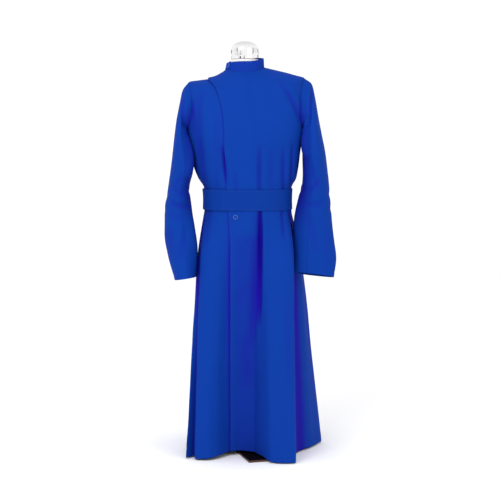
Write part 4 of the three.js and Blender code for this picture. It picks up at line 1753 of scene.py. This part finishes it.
@dataclass
class Sleeve:
    """One two-piece sleeve."""

    side: int
    sections: Table
    creases: list[Crease]
    name: str
    node: str
    rows: int = 118
    cuff_turn: float = 17.0
    first_rows: tuple[float, ...] = (0, 0.03, 0.07)
    last_rows: tuple[float, ...] = (0.06, 0.035, 0.015, 0)
    angle_step: float = 0.02
    edge_ease: float = 0.5
    body_ease: float = 0.6
    # Painted shade in the armpit and at the sleeve's inner start: its rise and fall in sections, strength,
    # reach, turn and strength
    pit_rise: tuple[float, float] = (1.2, 3.2)
    pit_fall: tuple[float, float] = (7.0, 9.0)
    pit_shade: float = 0.8
    start_reach: float = 1.6
    start_turn: tuple[float, float] = (-0.3, 0.8)
    start_shade: float = 0.7

    def __post_init__(self) -> None:
        """Makes the smooth curves of the sections."""
        places = np.arange(len(self.sections))
        self.curves = {name: SmoothCurve(places, values) for name, values in self.sections.columns.items()}
        self.last = len(self.sections) - 1

    def armhole(self, turn: Array) -> tuple[Array, Array]:
        """Edge of the armhole and the body's normal there.

        Args:
            turn: Radians round the armhole.

        Returns:
            Points and outward normals.
        """
        angle = self.side * (90 - ARMHOLE_HALF_ANGLE * np.sin(turn))
        level = BODY.armhole_level(turn)
        return BODY.point(angle, level), BODY.normal(angle, level)

    def oval(self, turn: Array, place: Array) -> Array:
        """Plain oval sections of the sleeve.

        Args:
            turn: Radians round the sleeve.
            place: Sections down the sleeve.

        Returns:
            Points in millimetres.
        """
        row = {name: curve(place) for name, curve in self.curves.items()}
        c = np.cos(turn)
        s = np.sin(turn)
        x, z = (
            (row["outer_" + axis] + row["inner_" + axis]) / 2
            + (row["outer_" + axis] - row["inner_" + axis]) / 2 * c
            for axis in ("x", "z")
        )
        return np.stack([self.side * x, row["y"] - row["half_depth"] * s, z + row["rise"] * s], axis=-1)

    def point(self, turn: Array, place: Array) -> Array:
        """Points of the sleeve, which starts on the armhole's edge and eases into its ovals.

        Args:
            turn: Radians round the sleeve.
            place: Sections down the sleeve.

        Returns:
            Points in millimetres.
        """
        share = 1 - smoothstep(place, 0, CAP_BLEND_SECTIONS)
        offset = self.armhole(turn)[0] - self.oval(turn, np.zeros_like(turn))
        return self.oval(turn, place) + offset * share[..., None]

    def half(self, from_degrees: float, to_degrees: float) -> Grid:
        """One half of the sleeve between two seam angles.

        Args:
            from_degrees: First seam.
            to_degrees: Last seam.

        Returns:
            The grid of its outer face.
        """
        ends = np.radians([from_degrees, to_degrees])
        columns = round((to_degrees - from_degrees) / (180 / ARMHOLE_STEPS))
        even = np.linspace(ends[0], ends[1], columns + 1)
        run = np.linspace(0, self.last, self.rows)
        run = np.concatenate([self.first_rows, run[1:-1], self.last - np.array(self.last_rows)])
        turns, places = np.meshgrid(even, run)
        turns = turns.copy()
        half_step = self.angle_step / 2
        run_over = self.point(turns + half_step, places) - self.point(turns - half_step, places)
        step = np.linalg.norm(run_over, axis=-1) / self.angle_step
        turns[:, 0] += SLIT / step[:, 0]
        turns[:, -1] -= SLIT / step[:, -1]
        near = [turns[:, :1] + gap / step[:, :1] for gap in SLEEVE_CLOSE]
        far = [turns[:, -1:] - gap / step[:, -1:] for gap in SLEEVE_CLOSE[::-1]]
        turns = np.concatenate([turns[:, :1], *near, turns[:, 1:-1], *far, turns[:, -1:]], axis=1)
        places = np.broadcast_to(run[:, None], turns.shape)
        points = self.point(turns, places)
        normals = surface_normals(self.point, turns, places, self.angle_step, self.last) * -self.side
        edge, edge_normals = self.armhole(turns[0])
        share = (1 - smoothstep(places, 0, self.edge_ease))[..., None]
        normals = unit(normals * (1 - share) + edge_normals[None] * share)
        cloth = press(points, normals, self.creases)
        share = (1 - smoothstep(places, 0, self.body_ease))[..., None]
        body = press(points, normals, BODY_CREASES)
        points = cloth.points * (1 - share) + body.points * share
        points[0] += self._inside(turns[0], edge, edge_normals) * SLIT
        # Painted violet shade: the creases', in the armpit, and where the sleeve starts on its inner side
        inwards = -np.cos(turns)
        pit = np.clip(inwards, 0, 1) ** 2 * window(places, self.pit_rise, self.pit_fall)
        start = (1 - smoothstep(places, 0, self.start_reach)) * smoothstep(inwards, *self.start_turn)
        fold = np.clip(cloth.fold + self.pit_shade * pit + self.start_shade * start, 0, 1)
        finish = Finish((True, True, True, False), (False, False, False, True), self.cuff_turn)
        grid = finished(Grid(points, normals, fold), finish)
        grid.normals[0] = edge_normals
        return grid

    def _inside(self, turns: Array, edge: Array, normals: Array) -> Array:
        """Directions along the cloth from the armhole's edge into the armhole.

        Args:
            turns: Radians round the armhole.
            edge: Points of its edge.
            normals: The body's normals there.

        Returns:
            Unit directions.
        """
        along = self.armhole(turns + 0.01)[0] - self.armhole(turns - 0.01)[0]
        inwards = unit(np.cross(normals, along))
        centre = (self.armhole(np.array([0.0]))[0] + self.armhole(np.array([math.pi]))[0]) / 2
        return inwards * np.sign(np.einsum("ij,ij->i", inwards, centre - edge))[:, None]

    def build(self, material: bpy.types.Material) -> None:
        """Builds and dresses both halves.

        Args:
            material: Finish of the cloth.
        """
        for part, grid in (
            ("top", self.half(-SLEEVE_SEAM_ANGLE, SLEEVE_SEAM_ANGLE)),
            ("under", self.half(SLEEVE_SEAM_ANGLE, 360 - SLEEVE_SEAM_ANGLE)),
        ):
            piece = cloth_shell(f"{self.name}_{part}", grid, THIN)
            finish_piece(piece, f"{self.node}_{part}", material)
            hang(piece, grid)


@dataclass
class Band:
    """A band of cloth that runs once round and laps over its own start."""

    name: str
    node: str
    slot: str
    start: float
    sweep: float
    columns: int

    def angles(self) -> tuple[Array, Array]:
        """Angles of the columns, and how far each has travelled.

        Returns:
            Degrees round the wearer, and degrees run from the start.
        """
        close = np.array([0, 0.5, 1.2])
        even = np.linspace(2, self.sweep - 2, self.columns)
        travelled = np.concatenate([close, even, self.sweep - close[::-1]])
        return self.start - travelled, travelled

    def dress(self, grid: Grid, material: bpy.types.Material) -> None:
        """Makes the band's object and ties it to the frame.

        Args:
            grid: Outer face of the band.
            material: Finish of its cloth.
        """
        piece = cloth_shell(self.name, grid, BAND_WALL)
        finish_piece(piece, self.node, material)
        hang(piece, grid)


@dataclass
class Belt(Band):
    """The wide belt of the same cloth."""

    top_level: float = 11.03
    foot_level: float = 12.87
    gap: float = 1.0
    rows: int = 22
    step_up: tuple[float, float] = (330.0, 356.0)

    def grid(self) -> Grid:
        """Outer face of the belt.

        Returns:
            The grid of its outer face.
        """
        angle, travelled = self.angles()
        rise = np.linspace(0, 1, self.rows)
        rise = np.concatenate([[0, 0.012, 0.03], rise[1:-1], [0.97, 0.988, 1]])
        levels = self.top_level + (self.foot_level - self.top_level) * rise
        angles, rows = np.meshgrid(angle, levels)
        base = BODY.point(angles, rows)
        normals = BODY.normal(angles, rows)
        around = (angles + 180) % 360 - 180
        lap = BODY.lap_angle(np.full_like(angles, WAIST))
        over_front = (np.abs(around) < 90) & (around >= lap - SINK_START)
        lapped = np.where(over_front, lap_lift(np.maximum(around, lap), np.full_like(angles, WAIST)), 0)
        over = smoothstep(travelled, *self.step_up) * (CLOTH + SEAM)
        lift = lapped + self.gap + CLOTH + over[None]
        ripple = Ripple(seed=5, shortest=90, longest=200, height=0.3).push(base)
        points = base + normals * (lift + ripple)[..., None]
        return finished(Grid(points, normals), Finish((False,) * 4, (True,) * 4))


@dataclass
class Collar(Band):
    """The stand collar."""

    top: dict[str, float] = field(
        default_factory=lambda: {
            "right_z": 1356, "left_z": 1373, "front_z": 1360, "back_z": 1379,
            "right": 70, "left": 62, "front": 63, "back": 61, "square": 2.0,
        }
    )
    ramp: float = 40.0
    # Painted violet shade over the whole collar
    shade: float = 0.2

    def place(self, angle: Array, drop: Array) -> Array:
        """Points of the collar, from its top at 0 to the neckline at 1.

        Args:
            angle: Degrees round the wearer.
            drop: Share of the way down.

        Returns:
            Points in millimetres.
        """
        foot = {name: values[0] for name, values in LEVELS.columns.items()}
        low = BODY.ring_point(foot, angle) + np.array([0, 0, SLIT])
        high = BODY.ring_point(self.top, angle)
        return high + (low - high) * drop[..., None]

    def normal(self, angle: Array, drop: Array) -> Array:
        """Outward normals of the collar."""
        return surface_normals(self.place, angle, drop, 1, 1)

    def grid(self) -> Grid:
        """Outer face of the collar.

        Returns:
            The grid of its outer face.
        """
        angle, travelled = self.angles()
        drops = np.concatenate([[0, 0.02, 0.06], np.linspace(0.12, 0.88, 10), [0.94, 0.98, 1]])
        angles, rows = np.meshgrid(angle, drops)
        base = self.place(angles, rows)
        normals = self.normal(angles, rows)
        inset = (CLOTH + SEAM) * (1 - smoothstep(travelled, self.ramp, 2 * self.ramp))
        ripple = Ripple(seed=8, shortest=60, longest=140, height=0.25).push(base)
        points = base + normals * (ripple - inset[None])[..., None]
        grid = Grid(points, normals, np.full(angles.shape, self.shade))
        return finished(grid, Finish((False,) * 4, (True, True, True, False)))


def lathe(
    name: str, profile: Sequence[tuple[float, float]], segments: int, x: float = 0.0
) -> bpy.types.Object:
    """Turned closed piece round +Z.

    Args:
        name: Name of the object.
        profile: Radius and height of each point, from the axis at the foot to the axis at the top.
        segments: Count of steps round.
        x: Place of the axis across the wearer, in millimetres.

    Returns:
        The object.
    """
    mesh = bmesh.new()
    angles = np.linspace(0, 2 * math.pi, segments, endpoint=False)
    rings = []
    for radius, height in profile:
        ring = [(x + radius * math.cos(a), radius * math.sin(a)) for a in angles] if radius else [(x, 0)]
        rings.append([mesh.verts.new((across * MM, deep * MM, height * MM)) for across, deep in ring])
    for low, high in zip(rings, rings[1:]):
        for j in range(segments):
            k = (j + 1) % segments
            if len(low) == 1:
                mesh.faces.new((low[0], high[k], high[j]))
            elif len(high) == 1:
                mesh.faces.new((low[j], low[k], high[0]))
            else:
                mesh.faces.new((low[j], low[k], high[k], high[j]))
    bmesh.ops.recalc_face_normals(mesh, faces=mesh.faces)
    for face in mesh.faces:
        face.smooth = True
    return add_shape(name, mesh)


@dataclass
class DressForm:
    """The limbless form and its neck cap."""

    neck_radius: float = 49.0
    neck_top: float = 1368.0
    dome_top: float = 1431.0
    neck_x: float = -4.0
    dome: float = 32.0
    hip_square: float = 2.2
    columns: int = 96

    def torso_rings(self) -> Array:
        """Rings of the torso, from the neck to the hips.

        Returns:
            Points of each ring, in millimetres.
        """
        angles = np.linspace(-180, 180, self.columns, endpoint=False)

        def circle(radius: float, z: float) -> Array:
            """Level ring of a radius.

            Args:
                radius: Its radius.
                z: Its height.

            Returns:
                Points in millimetres.
            """
            a = np.radians(angles)
            x = self.neck_x + radius * np.sin(a)
            return np.stack([x, -radius * np.cos(a), np.full_like(a, z)], axis=-1)

        outline = ((-2, 0), (-0.4, 1.2), (0, 3), (1, 23))
        rings = [circle(self.neck_radius + out, self.neck_top - down) for out, down in outline]
        level = np.array([0, 0.5, 1, 2, 2.45, 3, 4, 5, 6, 7, 8, 9, 10, 11, 12, 12.8])
        inside = np.array([13, 6, 2.2, 1.6, 2.4, 2.2, 3, 3.4, 4.4, 5.4, 6.4, 7.4, 10.4, 9, 8, 8])
        depth = SmoothCurve(level, inside)
        for place in np.concatenate([np.arange(0, 4, 0.25), np.arange(4, 12.81, 0.4)]):
            rows = np.full_like(angles, place)
            base = BODY.point(angles, rows)
            normals = BODY.normal(angles, rows)
            inward = np.maximum(sum(-crease.push(base, normals) for crease in BODY_CREASES), 0)
            rings.append(base - normals * (CLOTH + depth(place) + inward)[:, None])
        hips = Table(
            "z right left front back",
            ("high", 815, 130, 138, 82, 84),
            ("middle", 785, 126, 134, 80, 82),
            ("low", 748, 119, 124, 75, 77),
            ("rim", 741.5, 117, 121.5, 73, 75),
            ("foot", 740, 114, 118, 70, 72),
        )
        for i in range(len(hips)):
            ring = {name: hips[name][i] for name in ("right", "left", "front", "back")}
            ring |= {name: hips["z"][i] for name in ("right_z", "left_z", "front_z", "back_z")}
            rings.append(BODY.ring_point(ring | {"square": self.hip_square}, angles))
        return np.array(rings)

    def build(self, cover: bpy.types.Material, chrome: bpy.types.Material) -> None:
        """Builds and dresses the torso and the cap.

        Args:
            cover: Finish of the torso.
            chrome: Finish of the cap.
        """
        rings = self.torso_rings()
        count, columns = rings.shape[:2]
        middles = np.array([rings[0].mean(0), rings[-1].mean(0)])
        vertices = np.concatenate([rings.reshape(-1, 3), middles])
        index = np.arange(count * columns).reshape(count, columns)
        beside = np.roll(index, -1, axis=1)
        sides = np.stack([index[:-1], index[1:], beside[1:], beside[:-1]], axis=-1).reshape(-1, 4)
        torso = build_mesh("dress_form", vertices, sides)
        shape = bmesh.new()
        shape.from_mesh(torso.data)
        shape.verts.ensure_lookup_table()
        for ring, middle in ((index[0], count * columns), (index[-1], count * columns + 1)):
            for a, b in zip(ring, np.roll(ring, -1)):
                shape.faces.new((shape.verts[a], shape.verts[b], shape.verts[middle]))
        bmesh.ops.recalc_face_normals(shape, faces=shape.faces)
        shape.to_mesh(torso.data)
        shape.free()
        finish_piece(torso, "form_torso", cover)
        self.cap(chrome)

    def cap(self, chrome: bpy.types.Material) -> None:
        """Builds and dresses the turned neck cap.

        Args:
            chrome: Finish of the cap.
        """
        foot = self.neck_top + SEAM
        wall_top = self.dome_top - self.dome
        radius = self.neck_radius
        profile = [(0, foot), (radius - 1.5, foot), (radius - 0.4, foot + 0.4), (radius, foot + 1.5)]
        profile += [(radius, z) for z in np.linspace(foot + 6, wall_top - 4, 8)]
        for t in np.linspace(0, math.pi / 2, 28):
            profile.append((radius * max(math.cos(t), 0) ** 0.8, wall_top + self.dome * math.sin(t)))
        profile[-1] = (0, self.dome_top)
        cap = lathe("turned_neck_cap", profile, 96, self.neck_x)
        finish_piece(cap, "neck_cap", chrome)


@dataclass
class Button:
    """Four-hole button with a raised rim, sewn where the frame has its own."""

    node: str
    normal: Array
    radius: float = 8.5
    height: float = 3.0
    rim: float = 1.7
    well: float = 1.9
    hole_radius: float = 0.85
    hole_spread: float = 1.5
    thread_radius: float = 0.42
    sharp_angle: float = 38.0

    def profile(self) -> list[tuple[float, float]]:
        """Radius and height of the turned outline.

        Returns:
            Points from the axis at the back to the axis at the front, in millimetres.
        """
        r, h = self.radius, self.height
        inner = r - self.rim
        return [
            (0, 0), (r - 0.9, 0), (r - 0.25, 0.25), (r, 0.9), (r, h - 0.9), (r - 0.25, h - 0.25),
            (r - 0.9, h), (inner + 0.5, h - 0.1), (inner, h - 0.5), (inner - 0.7, self.well), (0, self.well),
        ]

    def holes(self) -> bpy.types.Object:
        """Four round bars that cut the holes.

        Returns:
            The bars as one object, for cutting only.
        """
        shape = bmesh.new()
        for x in (-self.hole_spread, self.hole_spread):
            for y in (-self.hole_spread, self.hole_spread):
                place = Matrix.Translation((x * MM, y * MM, self.height / 2 * MM))
                bmesh.ops.create_cone(
                    shape, cap_ends=True, segments=20, radius1=self.hole_radius * MM,
                    radius2=self.hole_radius * MM, depth=2 * self.height * MM, matrix=place,
                )
        return add_shape("button_holes", shape)

    def thread(self, mesh: bmesh.types.BMesh) -> None:
        """Adds the two crossing stitches that hold the button.

        Args:
            mesh: Shape of the button.
        """
        for turn, rise in ((math.pi / 4, 0.0), (-math.pi / 4, self.thread_radius)):
            size = Matrix.Diagonal((self.hole_spread * 1.5, self.thread_radius, self.thread_radius, 1))
            place = Matrix.Translation((0, 0, (self.well + rise) * MM)) @ Matrix.Rotation(turn, 4, "Z")
            made = bmesh.ops.create_uvsphere(
                mesh, u_segments=12, v_segments=8, radius=MM, matrix=place @ size
            )
            for face in {face for vertex in made["verts"] for face in vertex.link_faces}:
                face.material_index = 2

    def build(self, materials: Sequence[bpy.types.Material]) -> None:
        """Builds the button and lays it on the cloth.

        Args:
            materials: Finishes of its middle, its rim, lighter by a painted highlight, and its thread.
        """
        plain = lathe(self.node + "_turned", self.profile(), 72)
        bars = self.holes()
        cut = plain.modifiers.new("holes", "BOOLEAN")
        cut.object = bars
        cut.solver = "EXACT"
        mesh = bpy.data.meshes.new_from_object(plain.evaluated_get(bpy.context.evaluated_depsgraph_get()))
        for spare in (plain, bars):
            bpy.data.objects.remove(spare)
        shape = bmesh.new()
        shape.from_mesh(mesh)
        # Faces of the rim take the lighter finish with the painted highlight
        for face in shape.faces:
            out = face.calc_center_median().xy.length / MM
            face.material_index = int(out > self.radius - self.rim - 0.4)
        self.thread(shape)
        for face in shape.faces:
            face.smooth = True
        low, high = (np.array(corner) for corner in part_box(self.node))
        seat = (low + high) / 2 - unit(self.normal) * self.height / 2 * MM
        turn = Vector(self.normal).to_track_quat("Z", "Y").to_matrix().to_4x4()
        shape.transform(Matrix.Translation(seat) @ turn)
        set_finishes(mesh, *materials)
        shape.to_mesh(mesh)
        shape.free()
        mesh.set_sharp_from_angle(angle=math.radians(self.sharp_angle))
        finish_piece(add_object(self.node + "_sewn", mesh), self.node, None)


@dataclass
class StandBase:
    """The four crossed legs of the stand, with their edges eased."""

    node: str = "stand_base"
    ease: float = 0.8
    flat_angle: float = 1.0
    sharp_angle: float = 30.0

    def build(self, materials: Sequence[bpy.types.Material]) -> None:
        """Builds the base from the frame's solid.

        Args:
            materials: Finishes of its faces and of its cut edges.
        """
        shape = bmesh.new()
        shape.from_mesh(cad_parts[self.node].data)
        bmesh.ops.remove_doubles(shape, verts=shape.verts, dist=0.01 * MM)
        bmesh.ops.dissolve_limit(
            shape, angle_limit=math.radians(self.flat_angle), verts=shape.verts, edges=shape.edges
        )
        sharp = [e for e in shape.edges if e.calc_face_angle(0) > math.radians(self.sharp_angle)]
        bmesh.ops.bevel(
            shape,
            geom=sharp,
            offset=self.ease * MM,
            segments=2,
            profile=0.5,
            affect="EDGES",
            clamp_overlap=True,
        )
        bmesh.ops.triangulate(shape, faces=[f for f in shape.faces if len(f.verts) > 4])
        bmesh.ops.recalc_face_normals(shape, faces=shape.faces)
        for face in shape.faces:
            face.material_index = int(abs(face.normal.z) < 0.5)
        piece = add_shape("stand_base_eased", shape)
        set_finishes(piece.data, *materials)
        finish_piece(piece, self.node, None)


@dataclass
class Studio:
    """Camera, floor and soft light."""

    surround: float = 1.04
    floor_half: float = 6.0

    def camera(self) -> None:
        """Makes the camera at the photo's angle."""
        data = bpy.data.cameras.new("camera")
        data.sensor_width = SENSOR
        data.lens = FOCAL_PIXELS / PHOTO_SIDE * SENSOR
        camera = add_object("camera", data)
        camera.location = (CAMERA_X, -CAMERA_DISTANCE, CAMERA_HEIGHT)
        camera.rotation_euler = (AIM - camera.location).to_track_quat("-Z", "Y").to_euler()
        bpy.context.scene.camera = camera

    def area(self, name: str, place: tuple, size: float, power: float, aim: tuple) -> None:
        """Adds one soft box.

        Args:
            name: Name of the light.
            place: Where it stands.
            size: Side of its square, in metres.
            power: Watts.
            aim: Point that it faces.
        """
        data = bpy.data.lights.new(name, "AREA")
        data.size = size
        data.energy = power
        light = add_object(name, data)
        light.location = place
        light.rotation_euler = (Vector(aim) - Vector(place)).to_track_quat("-Z", "Y").to_euler()

    def build(self) -> None:
        """Makes the floor, the lights and the pale surround."""
        scene = bpy.context.scene
        scene.view_settings.view_transform = "Standard"
        world = bpy.data.worlds.new("studio")
        world.use_nodes = True
        background = world.node_tree.nodes["Background"]
        background.inputs["Color"].default_value = (1.0, 1.0, 1.0, 1.0)
        background.inputs["Strength"].default_value = self.surround
        scene.world = world
        self.area("key", (-1.4, -2.8, 2.9), 1.6, 58, (0, 0, 1.6))
        self.area("fill", (2.2, -2.8, 2.2), 1.8, 18, (0, 0, 1.4))
        corners = np.array([(-1, -1, 0), (1, -1, 0), (1, 1, 0), (-1, 1, 0)]) * self.floor_half / MM
        floor = build_mesh("floor", corners, np.array([(0, 1, 2, 3)]))
        nodes = Nodes("pale_floor")
        grain = nodes.noise(nodes.coordinates("Object"), 30.0, 2.0)
        colour = nodes.mix_colour(grain, (0.95, 0.95, 0.95), (0.97, 0.97, 0.97))
        floor.data.materials.append(nodes.surface({"Base Color": colour, "Roughness": 0.9}))


def main() -> None:
    """Builds the cassock, its form and the studio in order."""
    logging.basicConfig(level=logging.INFO, format="%(message)s")
    studio = Studio()
    studio.camera()
    cloth = SUITING.build()
    thread = THREAD.build()
    DressForm().build(JERSEY.build(), CHROME.build())
    panels = Panels()
    panels.build(cloth)
    left = Sleeve(1, LEFT_SLEEVE, LEFT_SLEEVE_CREASES, "left_sleeve", "sleeve_left")
    right = Sleeve(-1, RIGHT_SLEEVE, RIGHT_SLEEVE_CREASES, "right_sleeve", "sleeve_right")
    for sleeve in (left, right):
        sleeve.build(cloth)
    belt = Belt("self_belt", "belt", "belt_cloth", start=-60.0, sweep=388.0, columns=220)
    belt_grid = belt.grid()
    belt.dress(belt_grid, BELTING.build())
    collar = Collar("stand_collar", "collar", "cassock_cloth", start=-50.0, sweep=382.0, columns=120)
    collar_grid = collar.grid()
    collar.dress(collar_grid, cloth)
    tree = StitchTree()
    lines = [
        panels.grids["left_front"].inset_line("left", *FRONT_ROW),
        belt_grid.inset_line("top", *BELT_ROW),
        belt_grid.inset_line("foot", *BELT_ROW),
        collar_grid.inset_line("top", *COLLAR_ROW),
    ]
    stitches = tree.lay("edge_stitching", lines, thread)
    finish_piece(stitches, None, None)
    finishes = [BUTTON.build(), BUTTON_RIM_HIGHLIGHT.build(), thread]
    Button("waist_button", BODY.normal(*WAIST_BUTTON)).build(finishes)
    Button("collar_button", collar.normal(*COLLAR_BUTTON)).build(finishes)
    set_finishes(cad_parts["pole"].data, TUBE.build())
    StandBase().build([ENAMEL.build(), CUT_EDGE.build()])
    studio.build()


if __name__ == "__main__":
    main()
